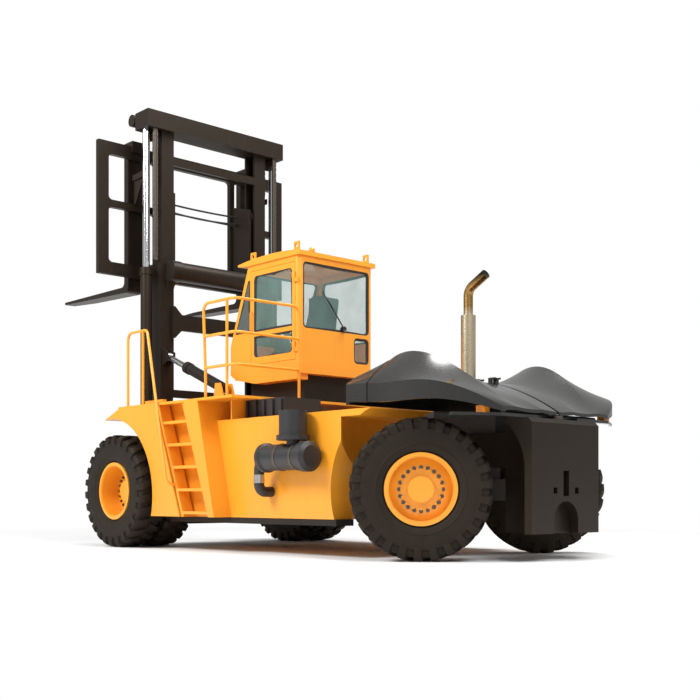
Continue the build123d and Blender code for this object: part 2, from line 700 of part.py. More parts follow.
# Air cleaner on the left side: canister with end covers and ribs, rain bowl above, intake elbow in front
cleaner_x = (tank_rear_x + 350, tank_rear_x + 1400)
cleaner_y = mid_y + 230
cleaner_z = mid_top_z - 620
cleaner_radius = 210
bowl_x = cleaner_x[0] + 400
with BuildPart() as air_cleaner:
    with BuildSketch(Plane.XY) as canister:
        with BuildLine():
            long = cleaner_x[1] - cleaner_x[0]
            Polyline((0, 0), (0, cleaner_radius - 60), (40, cleaner_radius), (160, cleaner_radius),
                     (180, cleaner_radius - 25),
                     (long - 120, cleaner_radius - 25), (long - 100, cleaner_radius),
                     (long - 40, cleaner_radius),
                     (long, cleaner_radius - 70), (long, 0), close=True)
        make_face()
    body = revolve(canister.sketch, axis=Axis.X, mode=Mode.PRIVATE)
    with Locations((cleaner_x[0], cleaner_y, cleaner_z)):
        add(body)
    post_bar(bowl_x, cleaner_y, (cleaner_z + 100, cleaner_z + 260), 90)
    post_bar(bowl_x, cleaner_y, (cleaner_z + 230, cleaner_z + 300), cleaner_radius + 20)
    post_bar(bowl_x, cleaner_y, (cleaner_z + 290, mid_top_z + 20), cleaner_radius - 15)
    tube_run([(cleaner_x[1] - 60, cleaner_y, cleaner_z - 60),
              (cleaner_x[1] + 110, cleaner_y, cleaner_z - 60),
              (cleaner_x[1] + 110, cleaner_y, cleaner_z - 480),
              (cleaner_x[1] + 110, mid_y + seat_gap, cleaner_z - 480)], 75, 110)
    for x in (bowl_x - 150, cleaner_x[1] - 250):
        slab((x - 50, x + 50), (mid_y + seat_gap, cleaner_y - 60), (cleaner_z - 140, cleaner_z + 110))
finish(air_cleaner, "air_cleaner")

stack_x = hood_front_x - 205
stack_y = -500
stack_low_z = mid_top_z + 190
stack_top_z = mid_top_z + 1510
pipe_top_z = stack_top_z + 380
with BuildPart() as exhaust_stack:
    post_bar(stack_x, stack_y, (stack_low_z, stack_top_z), stack_radius)
    tube_run([(stack_x, stack_y, stack_top_z - 20), (stack_x, stack_y, pipe_top_z),
              (stack_x - 340, stack_y, pipe_top_z + 190)],
             pipe_radius, 160)
finish(exhaust_stack, "exhaust_stack")

# Hood: a fixed cowl and two gull-wing lids that swell over the steered wheels and draw in to the counterweight.
# Each row gives the station, the heights of valley, crest, outer edge and skirt,
# then the half widths of crest and edge.
hood_rows = {"front": (hood_front_x, mid_top_z + 390, mid_top_z + 546, mid_top_z + 350, mid_top_z + 110,
                       hood_crest_y + 80, hood_edge_y),
             "split": (lid_front_x, mid_top_z + 420, mid_top_z + 680, mid_top_z + 340, mid_top_z + 90,
                       hood_crest_y + 40, hood_edge_y),
             "peak": (hood_peak_x, mid_top_z + 440, mid_top_z + 765, mid_top_z + 320, mid_top_z + 70,
                      hood_crest_y, hood_edge_y),
             "slope": (lid_slope_x, mid_top_z + 210, mid_top_z + 350, mid_top_z + 270, mid_top_z + 50,
                       hood_crest_y - 230, hood_edge_y),
             "rear": (lid_rear_x, weight_top_z + 100, weight_top_z + 120, weight_top_z + 115,
                      weight_top_z + 55, weight_half + 40, hood_rear_y)}


def hood_section(row, side, shift=0, floor=None):
    x, valley, crest, edge, skirt, crest_y, edge_y = hood_rows[row]
    with BuildSketch(Plane(origin=(x + shift, 0, 0), x_dir=(0, 1, 0), z_dir=(1, 0, 0))) as section:
        with BuildLine():
            for inset in (0, hood_skin) if floor is None else (0,):
                inner = (side * hood_inner_y, valley - inset)
                shoulder = (side * crest_y * 0.45, valley + 20 - inset)
                top = (side * crest_y, crest - inset)
                corner = (side * (edge_y - inset), edge - inset)
                foot = (side * (edge_y - inset), skirt)
                rise = (side * crest_y * 0.75, (valley + crest) / 2 - inset)
                fall = (side * (crest_y * 0.5 + (edge_y - inset) * 0.5),
                        crest * 0.55 + edge * 0.45 + 10 - inset)
                Line(inner, shoulder)
                ThreePointArc(shoulder, rise, top)
                ThreePointArc(top, fall, corner)
                Line(corner, foot)
            if floor is None:
                Line((side * hood_inner_y, valley), (side * hood_inner_y, valley - hood_skin))
                Line((side * edge_y, skirt), (side * (edge_y - hood_skin), skirt))
            else:
                Polyline((side * hood_inner_y, valley), (side * hood_inner_y, floor),
                         (side * edge_y, floor), (side * edge_y, skirt))
        make_face()
    return section.sketch


lid_hinge_y = hood_inner_y + 22
lid_hinge_z = mid_top_z + 468
lid_hinge_x = [hood_peak_x + 330, hood_peak_x + 30, hood_peak_x - 270]
knuckle_long = 60
hinge_radius = 14
for hand, side in sides.items():
    with BuildPart() as hood_lid:
        loft([hood_section(row, side) for row in ("split", "peak", "slope", "rear")])
        for x in lid_hinge_x:
            slab((x + turn_gap, x + knuckle_long), (side * (lid_hinge_y - 15), side * (lid_hinge_y + 15)),
                 (mid_top_z + 310, lid_hinge_z))
            bar((x + turn_gap, side * lid_hinge_y, lid_hinge_z),
                (x + knuckle_long, side * lid_hinge_y, lid_hinge_z), hinge_radius)
    finish(hood_lid, f"hood_lid_{hand}")

with BuildPart() as hood_base:
    spine = hood_inner_y - turn_gap
    spine_x = (weight_front_x + 60, hood_front_x)
    for side in (1, -1):
        loft([hood_section("front", side), hood_section("split", side, shift=20)])
        extrude(hood_section("front", side, floor=hood_low_z), amount=-60)
        with BuildSketch(Plane.XY.offset(weight_top_z + seat_gap)) as shelf:
            with BuildLine():
                Polyline((weight_rear_x + weight_reach - 205, side * (frame_half + 20)),
                         (weight_rear_x + weight_reach - 205, side * hood_crest_y),
                         (lid_slope_x - 130, side * (hood_edge_y - 60)),
                         (lid_slope_x - 190, side * (hood_edge_y - 60)),
                         (lid_rear_x, side * (hood_rear_y + 20)), (lid_rear_x, side * (frame_half + 20)),
                         close=True)
            make_face()
        extrude(shelf.sketch, amount=40)
    slab((lid_rear_x + 100, lid_rear_x + 160), (-frame_half - 40, frame_half + 40),
         (weight_top_z + seat_gap, weight_top_z + 40))
    side_plate([(spine_x[0], mid_top_z - 60 + seat_gap), (spine_x[1], mid_top_z - 60 + seat_gap),
                (spine_x[1], mid_top_z + 380),
                (hood_peak_x, mid_top_z + 400), (hood_peak_x - 330, mid_top_z + 330),
                (spine_x[0], mid_top_z + 180)], (-spine, spine))
    for x in lid_hinge_x:
        slab((x - knuckle_long, x), (-spine + 10, spine - 10), (mid_top_z + 290, lid_hinge_z))
        slab((x - knuckle_long, x), (-lid_hinge_y, lid_hinge_y), (lid_hinge_z - 7, lid_hinge_z + 7))
        for side in (1, -1):
            bar((x - knuckle_long, side * lid_hinge_y, lid_hinge_z), (x, side * lid_hinge_y, lid_hinge_z),
                hinge_radius)
    post_bar(stack_x, stack_y, (mid_top_z, mid_top_z + 900), stack_radius + seat_gap, mode=Mode.SUBTRACT)
finish(hood_base, "hood_base")

# Outer mast: two inward channels tied by a collared round tube, a plate and a foot beam,
# on saddles round the drive axle


def channel(rear_x, depth, edge, reach, web, flange, z):
    with BuildSketch(Plane.XY.offset(z[0])) as section:
        with BuildLine():
            root = edge - web * edge / abs(edge)
            lip = edge - reach * edge / abs(edge)
            Polyline((rear_x, edge), (rear_x + depth, edge), (rear_x + depth, lip),
                     (rear_x + depth - flange, lip),
                     (rear_x + depth - flange, root), (rear_x + flange, root), (rear_x + flange, lip),
                     (rear_x, lip), close=True)
        make_face()
    extrude(section.sketch, amount=z[1] - z[0])


lug_plate = 25
lug_space = 60
with BuildPart() as outer_mast:
    for side in (1, -1):
        channel(mast_rear_x, mast_depth, side * outer_half, outer_reach, outer_web, outer_flange,
                (outer_bottom_z, outer_top_z))
        cross_bar(front_axle_x, axle_z, (side * saddle_y[0], side * saddle_y[1]), axle_radius + saddle_wall)
        side_plate([(front_axle_x, axle_z - 220), (mast_rear_x, axle_z - 300), (mast_rear_x, axle_z + 420),
                    (front_axle_x, axle_z + 220)],
                   (side * saddle_y[0], side * saddle_y[1]))
        side_plate([(tube_x, tube_z - 120), (mast_rear_x, tube_z - 330), (mast_rear_x, tube_z + 150),
                    (tube_x, tube_z + 150)],
                   (side * (outer_half - outer_reach), side * (outer_half - 120)))
        cross_bar(tube_x, tube_z, (side * (outer_half - 300), side * (outer_half - 100)), tube_radius + 12)
        for y in (-lug_space - lug_plate, lug_space):
            side_plate([(mast_rear_x, tilt_eye[1] - 160), (mast_rear_x, tilt_eye[1] + 160),
                        (tilt_eye[0] - 80, tilt_eye[1] + 70),
                        (tilt_eye[0] - 80, tilt_eye[1] - 70)],
                       (side * tilt_y + y, side * tilt_y + y + lug_plate))
        cross_bar(*tilt_eye, (side * tilt_y - 85, side * tilt_y + 85), tilt_pin_radius)
    cross_bar(tube_x, tube_z, (220 - outer_half, outer_half - 220), tube_radius)
    tie_half = outer_half - outer_reach
    with BuildSketch(Plane.YZ.offset(mast_rear_x - 70)) as tie:
        with BuildLine():
            Polyline((-tie_half, plate_z[0] - 140), (-tie_half + 140, plate_z[0]),
                     (tie_half - 140, plate_z[0]), (tie_half, plate_z[0] - 140),
                     (tie_half + 40, plate_z[0] - 140), (tie_half + 40, plate_z[1] + 140),
                     (tie_half, plate_z[1] + 140),
                     (tie_half - 140, plate_z[1]), (-tie_half + 140, plate_z[1]),
                     (-tie_half, plate_z[1] + 140),
                     (-tie_half - 40, plate_z[1] + 140), (-tie_half - 40, plate_z[0] - 140), close=True)
        make_face()
    extrude(tie.sketch, amount=70)
    slab((mast_rear_x - 70, mast_rear_x), (-tie_half - 40, tie_half + 40),
         (outer_bottom_z + 10, outer_bottom_z + 210))
    cross_bar(front_axle_x, axle_z, (-outer_half, outer_half), axle_radius + turn_gap, mode=Mode.SUBTRACT)
finish(outer_mast, "outer_mast")

# Lift cylinders: barrels on foot brackets that stand out from the mast above the tyres
barrel_z = (lift_foot_z + lift_foot_tall, lift_foot_z + lift_foot_tall + barrel_length)
foot_y = outer_half + seat_gap
with BuildPart() as lift_barrels:
    for side in (1, -1):
        slab((lift_x - 100, lift_x + 100), (side * foot_y, side * (lift_y + 60)),
             (lift_foot_z, lift_foot_z + lift_foot_tall))
        side_plate([(lift_x - 90, lift_foot_z), (lift_x + 90, lift_foot_z),
                    (lift_x + 40, lift_foot_z - 180),
                    (lift_x - 40, lift_foot_z - 180)], (side * foot_y, side * (foot_y + 60)))
        post_bar(lift_x, side * lift_y, barrel_z, barrel_radius)
        post_bar(lift_x, side * lift_y, (barrel_z[1] - 120, barrel_z[1]), barrel_radius + 15)
        post_bar(lift_x, side * lift_y, (barrel_z[0] + 60, barrel_z[1] + 10), rod_radius + turn_gap,
                 mode=Mode.SUBTRACT)
finish(lift_barrels, "lift_barrels")

# Inner mast: channels nested in the outer pair under a wide head beam with chain and hose sheaves
inner_out = outer_half - outer_web - slide_gap
inner_x = (mast_rear_x + outer_flange + slide_gap, mast_rear_x + mast_depth - outer_flange - slide_gap)
beam_half = lift_y + 100
arm_x = carriage_x - 100
hose_y = beam_half - 60
with BuildPart() as inner_mast:
    for side in (1, -1):
        channel(inner_x[0], inner_x[1] - inner_x[0], side * inner_out, inner_reach, inner_web, inner_flange,
                (inner_bottom_z, inner_top_z))
        slab((inner_x[0] + 20, arm_x), (side * (beam_half - 130), side * (beam_half - 90)),
             (beam_z + 130, beam_z + beam_tall))
        cross_bar(arm_x - 75, beam_z + beam_tall - 90, (side * (beam_half - 100), side * beam_half), 105)
        cross_bar(lift_x, beam_z - 40,
                  (side * (chain_y - chain_wide / 2), side * (lift_y - rod_radius - slide_gap)),
                  sheave_radius)
        slab((lift_x - 30, lift_x + 30), (side * (chain_y - 30), side * (chain_y - 10)),
             (beam_z - 60, beam_z + 20))
    slab((mast_rear_x - 40, inner_x[1]), (-beam_half, beam_half), (beam_z, beam_z + beam_tall))
    slab((inner_x[0], inner_x[0] + inner_flange), (-inner_out, inner_out),
         (inner_bottom_z, inner_bottom_z + 140))
    slab((inner_x[0], inner_x[0] + inner_flange), (-inner_out, inner_out), (beam_z - 560, beam_z - 420))
finish(inner_mast, "inner_mast")

with BuildPart() as lift_rods:
    for side in (1, -1):
        post_bar(lift_x, side * lift_y, (barrel_z[0] + 80 + lift_rest, beam_z - seat_gap), rod_radius)
finish(lift_rods, "lift_rods")

# Leaf chains: a core strip with paired link plates, one run on each side of the sheave
anchor_z = (outer_top_z + 30, carriage_low_z + 1830)
with BuildPart() as lift_chains:
    for side in (1, -1):
        for x, low in ((lift_x - sheave_radius - chain_thick - seat_gap, anchor_z[0]),
                       (lift_x + sheave_radius + seat_gap, anchor_z[1])):
            high = beam_z - seat_gap
            y = side * chain_y
            slab((x + 10, x + chain_thick - 10), (y - chain_wide / 2, y + chain_wide / 2), (low, high))
            links = int((high - low) / chain_pitch)
            with Locations((x + chain_thick / 2, y, (low + high) / 2)):
                with GridLocations(1, chain_wide - 24, 1, 2):
                    with Locations(*[(0, 0, (index - links / 2 + 0.5) * chain_pitch)
                                     for index in range(links)]):
                        Box(chain_thick, 24, chain_pitch * 0.7)
finish(lift_chains, "lift_chains")

# Carriage: a plate frame with six windows, roller cheeks behind it and the chain anchors
roller_x = sum(inner_x) / 2
roller_radius = (inner_x[1] - inner_x[0]) / 2 - inner_flange - turn_gap
cheek_y = inner_out - inner_reach - 20
post_wide = 200
mid_bar_z = (carriage_low_z + 1190, carriage_low_z + 1320)
face_x = (carriage_x, carriage_x + bar_deep)
with BuildPart() as carriage:
    slab(face_x, (-carriage_half, carriage_half), (carriage_low_z, carriage_high_z))
    open_y = (cheek_y, carriage_half - post_wide)
    for side in (1, -1):
        for z in ((carriage_low_z + bar_tall, mid_bar_z[0]), (mid_bar_z[1], carriage_high_z - bar_tall)):
            with BuildSketch(Plane.YZ.offset(carriage_x)) as opening:
                with Locations((side * sum(open_y) / 2, sum(z) / 2)):
                    RectangleRounded(open_y[1] - open_y[0], z[1] - z[0], 70)
            extrude(opening.sketch, amount=bar_deep, mode=Mode.SUBTRACT)
    with BuildSketch(Plane.YZ.offset(carriage_x)) as middle:
        with Locations((0, (carriage_low_z + carriage_high_z) / 2)):
            RectangleRounded(2 * (cheek_y - 100), carriage_tall - 2 * bar_tall, 70)
    extrude(middle.sketch, amount=bar_deep, mode=Mode.SUBTRACT)
    for side in (1, -1):
        side_plate([(roller_x - 80, carriage_low_z + 250), (carriage_x + 10, carriage_low_z + 120),
                    (carriage_x + 10, carriage_low_z + 1640),
                    (roller_x - 80, carriage_low_z + 1500)], (side * (cheek_y - 60), side * cheek_y))
        for z in (carriage_low_z + 390, carriage_low_z + 1370):
            cross_bar(roller_x, z, (side * (cheek_y - 10), side * (inner_out - inner_web - slide_gap)),
                      roller_radius)
        chain_front_x = lift_x + sheave_radius + chain_thick + slide_gap
        slab((chain_front_x, carriage_x + 10), (side * (chain_y - 50), side * (chain_y + 50)),
             (anchor_z[1] - 100, anchor_z[1] - seat_gap))
        for y in (-chain_wide / 2 - slide_gap - 25, chain_wide / 2 + slide_gap):
            slab((lift_x + sheave_radius - 20, chain_front_x + 40),
                 (side * chain_y + y, side * chain_y + y + 25),
                 (anchor_z[1] - 100, anchor_z[1] - seat_gap))
        side_plate([(chain_front_x, anchor_z[1] - 100), (carriage_x, anchor_z[1] - 100),
                    (carriage_x, mid_bar_z[1] - 10),
                    (carriage_x - 40, mid_bar_z[1] - 10)], (side * (chain_y - 20), side * (chain_y + 20)))
finish(carriage, "carriage")

# Forks: tapered blades with a rounded heel, hooked over the top bar of the carriage
shank_x = carriage_x + bar_deep + fork_gap
fork_face_x = shank_x + fork_thick
heel = 90
for hand, side in sides.items():
    with BuildPart() as fork:
        y = (side * (fork_y - fork_wide / 2), side * (fork_y + fork_wide / 2))
        with BuildSketch(Plane.XZ.offset(-max(y))) as profile:
            with BuildLine():
                Polyline((fork_face_x, fork_top_z - blade_thick),
                         (fork_face_x + fork_length, fork_top_z - tip_thick),
                         (fork_face_x + fork_length, fork_top_z), (fork_face_x + heel, fork_top_z))
                ThreePointArc((fork_face_x + heel, fork_top_z),
                              (fork_face_x + heel * 0.293, fork_top_z + heel * 0.293),
                              (fork_face_x, fork_top_z + heel))
                Polyline((fork_face_x, fork_top_z + heel), (fork_face_x, carriage_high_z + 90),
                         (carriage_x - 45, carriage_high_z + 90),
                         (carriage_x - 45, carriage_high_z - hook_tall),
                         (carriage_x - fork_gap, carriage_high_z - hook_tall),
                         (carriage_x - fork_gap, carriage_high_z + turn_gap),
                         (shank_x, carriage_high_z + turn_gap),
                         (shank_x, fork_top_z))
                ThreePointArc((shank_x, fork_top_z), (shank_x + 40, fork_top_z - 80),
                              (fork_face_x, fork_top_z - blade_thick))
            make_face()
        extrude(profile.sketch, amount=fork_wide)
        with BuildSketch(Plane.XY.offset(fork_top_z - 300)) as plan:
            with BuildLine():
                end_x = fork_face_x + fork_length
                Polyline((end_x - 700, y[0]), (end_x, side * (fork_y - 60)),
                         (end_x + 10, side * (fork_y - 60)), (end_x + 10, y[0]), close=True)
                Polyline((end_x - 700, y[1]), (end_x, side * (fork_y + 60)),
                         (end_x + 10, side * (fork_y + 60)), (end_x + 10, y[1]), close=True)
            make_face()
        extrude(plan.sketch, amount=600, mode=Mode.SUBTRACT)
    finish(fork, f"fork_{hand}")

# Tilt cylinders: barrel on brackets on the deck, rod eye on the outer mast
tilt_long = hypot(tilt_eye[0] - tilt_foot[0], tilt_eye[1] - tilt_foot[1])
tilt_dir = ((tilt_eye[0] - tilt_foot[0]) / tilt_long, (tilt_eye[1] - tilt_foot[1]) / tilt_long)
barrel_end = tilt_long - 610
foot_radius = 40


def along(t, side):
    return (tilt_foot[0] + tilt_dir[0] * t, side * tilt_y, tilt_foot[1] + tilt_dir[1] * t)


with BuildPart() as tilt_barrels:
    for side in (1, -1):
        cross_bar(*tilt_foot, (side * tilt_y - 50, side * tilt_y + 50), tilt_barrel_radius - 10)
        bar(along(60, side), along(barrel_end, side), tilt_barrel_radius)
        bar(along(barrel_end - 110, side), along(barrel_end, side), tilt_barrel_radius + 12)
        bar(along(250, side), along(barrel_end + 10, side), tilt_rod_radius + turn_gap, mode=Mode.SUBTRACT)
        cross_bar(*tilt_foot, (side * tilt_y - 60, side * tilt_y + 60), foot_radius + turn_gap,
                  mode=Mode.SUBTRACT)
finish(tilt_barrels, "tilt_barrels")

with BuildPart() as tilt_rods:
    for side in (1, -1):
        cross_bar(*tilt_eye, (side * tilt_y - 45, side * tilt_y + 45), tilt_rod_radius * 1.5)
        bar(along(760, side), along(tilt_long - 50, side), tilt_rod_radius)
        cross_bar(*tilt_eye, (side * tilt_y - 60, side * tilt_y + 60), tilt_pin_radius + 10,
                  mode=Mode.SUBTRACT)
finish(tilt_rods, "tilt_rods")

with BuildPart() as tilt_brackets:
    for side in (1, -1):
        for y in (-bracket_reach, bracket_reach - lug_plate):
            side_plate([(tilt_foot[0] - 200, rail_foot_z), (tilt_foot[0] + 130, rail_foot_z),
                        (tilt_foot[0] + 70, tilt_foot[1] + 80),
                        (tilt_foot[0] - 70, tilt_foot[1] + 80)],
                       (side * tilt_y + y, side * tilt_y + y + lug_plate))
        cross_bar(*tilt_foot, (side * tilt_y - 110, side * tilt_y + 110), foot_radius)
finish(tilt_brackets, "tilt_brackets")

# Lamps: a domed beacon on the roof and a flashing lamp on each rear corner
lamp_x = lid_rear_x + 190
lamp_y = hood_rear_y + 170
with BuildPart() as lamps:
    with BuildSketch(Plane.XZ) as dome:
        with BuildLine():
            Polyline((15, 190), (0, 190), (0, 0), (75, 0), (75, 30), (55, 30), (55, 140))
            ThreePointArc((55, 140), (42, 175), (15, 190))
        make_face()
    beacon = revolve(dome.sketch, axis=Axis.Z, mode=Mode.PRIVATE)
    with Locations((beacon_x, 0, beacon_z + seat_gap)):
        add(beacon)
    for side in (1, -1):
        slab((lamp_x - 60, lamp_x + 60), (side * (lamp_y - 60), side * (lamp_y + 60)),
             (weight_top_z + 40 + 2 * seat_gap, weight_top_z + 130))
finish(lamps, "lamps")
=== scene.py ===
import json
import math

import bpy
import numpy as np
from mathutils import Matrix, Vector


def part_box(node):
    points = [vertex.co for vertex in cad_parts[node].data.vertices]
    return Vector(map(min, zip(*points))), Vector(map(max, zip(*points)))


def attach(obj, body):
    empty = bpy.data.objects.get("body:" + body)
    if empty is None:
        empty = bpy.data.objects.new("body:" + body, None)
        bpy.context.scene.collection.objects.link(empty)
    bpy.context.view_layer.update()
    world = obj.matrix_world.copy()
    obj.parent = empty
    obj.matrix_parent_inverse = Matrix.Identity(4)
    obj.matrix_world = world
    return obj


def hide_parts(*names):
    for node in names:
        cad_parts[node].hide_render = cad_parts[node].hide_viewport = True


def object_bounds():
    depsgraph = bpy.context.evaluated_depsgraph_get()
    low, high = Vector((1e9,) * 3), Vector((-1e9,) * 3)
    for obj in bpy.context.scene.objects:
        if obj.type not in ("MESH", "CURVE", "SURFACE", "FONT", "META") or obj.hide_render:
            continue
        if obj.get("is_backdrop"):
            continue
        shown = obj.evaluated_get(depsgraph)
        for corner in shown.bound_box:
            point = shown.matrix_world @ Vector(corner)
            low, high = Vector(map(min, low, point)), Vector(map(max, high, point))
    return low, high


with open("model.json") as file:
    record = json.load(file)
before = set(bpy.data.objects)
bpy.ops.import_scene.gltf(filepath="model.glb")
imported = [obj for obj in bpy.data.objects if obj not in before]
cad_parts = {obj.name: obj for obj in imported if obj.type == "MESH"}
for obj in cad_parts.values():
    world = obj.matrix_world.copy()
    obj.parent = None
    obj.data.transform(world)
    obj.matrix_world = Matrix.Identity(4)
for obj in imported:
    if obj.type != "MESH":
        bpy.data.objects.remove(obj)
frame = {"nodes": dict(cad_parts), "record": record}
cadBox = [list(corner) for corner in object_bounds()]
nodes = frame["nodes"]
print("frame loaded", len(nodes), "nodes")

# Places taken from the frame, in metres
roofOverhang = 0.03
frontHub = np.array(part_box("drive_axle")).mean(axis=0)
cabBox = np.array(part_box("cab_shell"))
cabDoorFace = np.array(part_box("cab_roof"))[1, 1] - roofOverhang


# Shader helpers: addNode returns the node that it adds, the others an output socket
def addNode(tree, kind, **values):
    node = tree.nodes.new(kind)
    for key, value in values.items():
        if key in node.inputs:
            if hasattr(value, "links"):
                tree.links.new(value, node.inputs[key])
            else:
                node.inputs[key].default_value = value
        else:
            setattr(node, key, value)
    return node


def noise(tree, coords, scale, detail=4.0, rough=0.55):
    node = addNode(tree, "ShaderNodeTexNoise", Scale=scale, Detail=detail, Roughness=rough)
    tree.links.new(coords, node.inputs["Vector"])
    return node.outputs["Fac"]


def ramp(tree, value, low, high, start=0.0, end=1.0):
    node = addNode(tree, "ShaderNodeMapRange")
    for key, number in (("From Min", low), ("From Max", high), ("To Min", start), ("To Max", end)):
        node.inputs[key].default_value = number
    tree.links.new(value, node.inputs["Value"])
    return node.outputs["Result"]


def combine(tree, operation, a, b):
    node = addNode(tree, "ShaderNodeMath", operation=operation)
    for index, value in enumerate((a, b)):
        if hasattr(value, "links"):
            tree.links.new(value, node.inputs[index])
        else:
            node.inputs[index].default_value = value
    return node.outputs[0]


def blendColor(tree, factor, a, b):
    node = addNode(tree, "ShaderNodeMix", data_type="RGBA")
    for index, value in ((0, factor), (6, a), (7, b)):  # the mix node's factor and its two colour sockets
        if hasattr(value, "links"):
            tree.links.new(value, node.inputs[index])
        else:
            node.inputs[index].default_value = value if index == 0 else (*value, 1.0)
    return node.outputs[2]


def stretched(tree, coords, scale):
    node = addNode(tree, "ShaderNodeMapping")
    node.inputs["Scale"].default_value = scale
    tree.links.new(coords, node.inputs["Vector"])
    return node.outputs["Vector"]


# One surface recipe: a base colour that drifts, rain streaks, dust that gathers low down, scuffs, a grain
weather = {"darker": 0.55, "worn": 0.7, "wornLift": 0.06, "driftScale": 0.9, "streakStretch": (9.0, 9.0, 0.7),
           "dustScale": 6.0, "dustTop": 2.2, "dustAbove": 0.15, "dustRough": 0.3,
           "scuffStretch": (30.0, 30.0, 4.0), "mottle": 0.06, "grainDepth": 0.01, "coatRough": 0.12,
           "dullBelow": 0.3, "dullTint": (1.0, 0.82, 0.64, 1.0), "plainTint": (1.0, 1.0, 1.0, 1.0)}


def surface(name, color, rough=0.4, metal=0.0, drift=0.12, streak=0.12, dust=0.25,
            dustColor=(0.075, 0.062, 0.05), scuff=0.0, grain=0.1, grainScale=60.0, coat=0.0, shine=0.5):
    material = bpy.data.materials.new(name)
    material.use_nodes = True
    tree = material.node_tree
    shader = tree.nodes["Principled BSDF"]
    coords = addNode(tree, "ShaderNodeTexCoord").outputs["Object"]
    height = addNode(tree, "ShaderNodeSeparateXYZ", Vector=coords).outputs["Z"]
    broad = noise(tree, coords, weather["driftScale"])
    fine = noise(tree, coords, grainScale, 3.0)
    runs = noise(tree, stretched(tree, coords, weather["streakStretch"]), 1.0, 5.0)
    darker = tuple(c * weather["darker"] for c in color)
    lighter = tuple(c * weather["worn"] + weather["wornLift"] for c in color)
    tint = blendColor(tree, ramp(tree, broad, 0.35, 0.7, 0.0, drift), color, darker)
    tint = blendColor(tree, ramp(tree, runs, 0.52, 0.75, 0.0, streak), tint, darker)
    patches = ramp(tree, noise(tree, coords, weather["dustScale"], 8.0, 0.65), 0.3, 0.8)
    settled = ramp(tree, height, weather["dustTop"], 0.0, weather["dustAbove"], 1.0)
    low = combine(tree, "MULTIPLY", settled, patches)
    tint = blendColor(tree, combine(tree, "MULTIPLY", low, dust), tint, dustColor)
    scratches = noise(tree, stretched(tree, coords, weather["scuffStretch"]), 1.0, 6.0)
    tint = blendColor(tree, ramp(tree, scratches, 0.66, 0.78, 0.0, scuff), tint, lighter)
    tree.links.new(tint, shader.inputs["Base Color"])
    mottle = ramp(tree, fine, 0.3, 0.7, rough - weather["mottle"], rough + weather["mottle"])
    dusty = combine(tree, "MULTIPLY", low, weather["dustRough"] * dust)
    tree.links.new(combine(tree, "ADD", mottle, dusty), shader.inputs["Roughness"])
    shader.inputs["Metallic"].default_value = metal
    shader.inputs["Specular IOR Level"].default_value = shine
    dull = shine < weather["dullBelow"]
    shader.inputs["Specular Tint"].default_value = weather["dullTint"] if dull else weather["plainTint"]
    shader.inputs["Coat Weight"].default_value = coat
    shader.inputs["Coat Roughness"].default_value = weather["coatRough"]
    bump = addNode(tree, "ShaderNodeBump", Strength=grain, Distance=weather["grainDepth"])
    tree.links.new(fine, bump.inputs["Height"])
    tree.links.new(bump.outputs["Normal"], shader.inputs["Normal"])
    return material


# Glass: a thin cyan tint, a painted colour of the sky seen through the panes, that is a little less clear
# where it is smeared
glassForm = {"smearScale": 2.4, "clear": 0.14, "smeared": 0.26, "bend": 1.5}


def glassSurface(name, tint):
    material = surface(name, tint, rough=0.06, drift=0.05, streak=0.1, dust=0.1, grain=0.01)
    tree = material.node_tree
    shader = tree.nodes["Principled BSDF"]
    coords = addNode(tree, "ShaderNodeTexCoord").outputs["Object"]
    smear = noise(tree, coords, glassForm["smearScale"], 5.0)
    opacity = ramp(tree, smear, 0.3, 0.75, glassForm["clear"], glassForm["smeared"])
    tree.links.new(opacity, shader.inputs["Alpha"])
    shader.inputs["IOR"].default_value = glassForm["bend"]
    return material


finishes = {
    "yellow_paint": surface("yellowPaint", (0.88, 0.34, 0.018), rough=0.34, drift=0.1, streak=0.1, dust=0.16,
                            dustColor=(0.4, 0.2, 0.06), scuff=0.15, coat=0.25),
    "dark_paint": surface("darkPaint", (0.012, 0.011, 0.011), rough=0.5, dust=0.25, scuff=0.2, shine=0.25),
    "mast_paint": surface("mastPaint", (0.0135, 0.0095, 0.0068), rough=0.4, dust=0.15, scuff=0.3, grain=0.12,
                          shine=0.28),
    "weight_paint": surface("weightPaint", (0.013, 0.0095, 0.007), rough=0.36, dust=0.1, scuff=0.12,
                            grain=0.12, grainScale=35.0, shine=0.25),
    "hood_paint": surface("hoodPaint", (0.02, 0.0195, 0.0175), rough=0.22, streak=0.05, dust=0.06, grain=0.03,
                          coat=0.55, shine=0.35),
    "tyre_rubber": surface("tyreRubber", (0.014, 0.0115, 0.009), rough=0.62, dust=0.3,
                           dustColor=(0.045, 0.035, 0.026), grain=0.3, grainScale=90.0, shine=0.22),
    "chrome_rod": surface("chromeRod", (0.8, 0.8, 0.82), rough=0.12, metal=1.0, streak=0.1, dust=0.05,
                          grain=0.02),
    "steel": surface("chainSteel", (0.12, 0.1, 0.08), rough=0.45, metal=0.7, dust=0.2, grain=0.2),
    "iron": surface("castIron", (0.1, 0.09, 0.085), rough=0.6, metal=0.3, grain=0.3, grainScale=45.0),
    # the cab glass's cyan tint is painted sky colour seen through the panes, not the glass's own tint
    "glass": glassSurface("cabGlass", (0.24, 0.42, 0.39)),
    "cloth": surface("chairCloth", (0.03, 0.03, 0.034), rough=0.85, grain=0.5, grainScale=220.0),
    "plastic": surface("blackPlastic", (0.017, 0.017, 0.018), rough=0.45, dust=0.25, grain=0.15),
    "amber_lens": surface("amberLens", (0.9, 0.28, 0.01), rough=0.15, dust=0.1, grain=0.02, coat=0.5),
    "stainless": surface("stackSteel", (0.66, 0.56, 0.38), rough=0.3, metal=1.0, streak=0.25, dust=0.1,
                         grain=0.02),
}
for part in frame["record"]["subparts"]:
    mesh = nodes[part["node"]].data
    for index in range(len(mesh.materials)):
        mesh.materials[index] = finishes[part["material_slot"]]

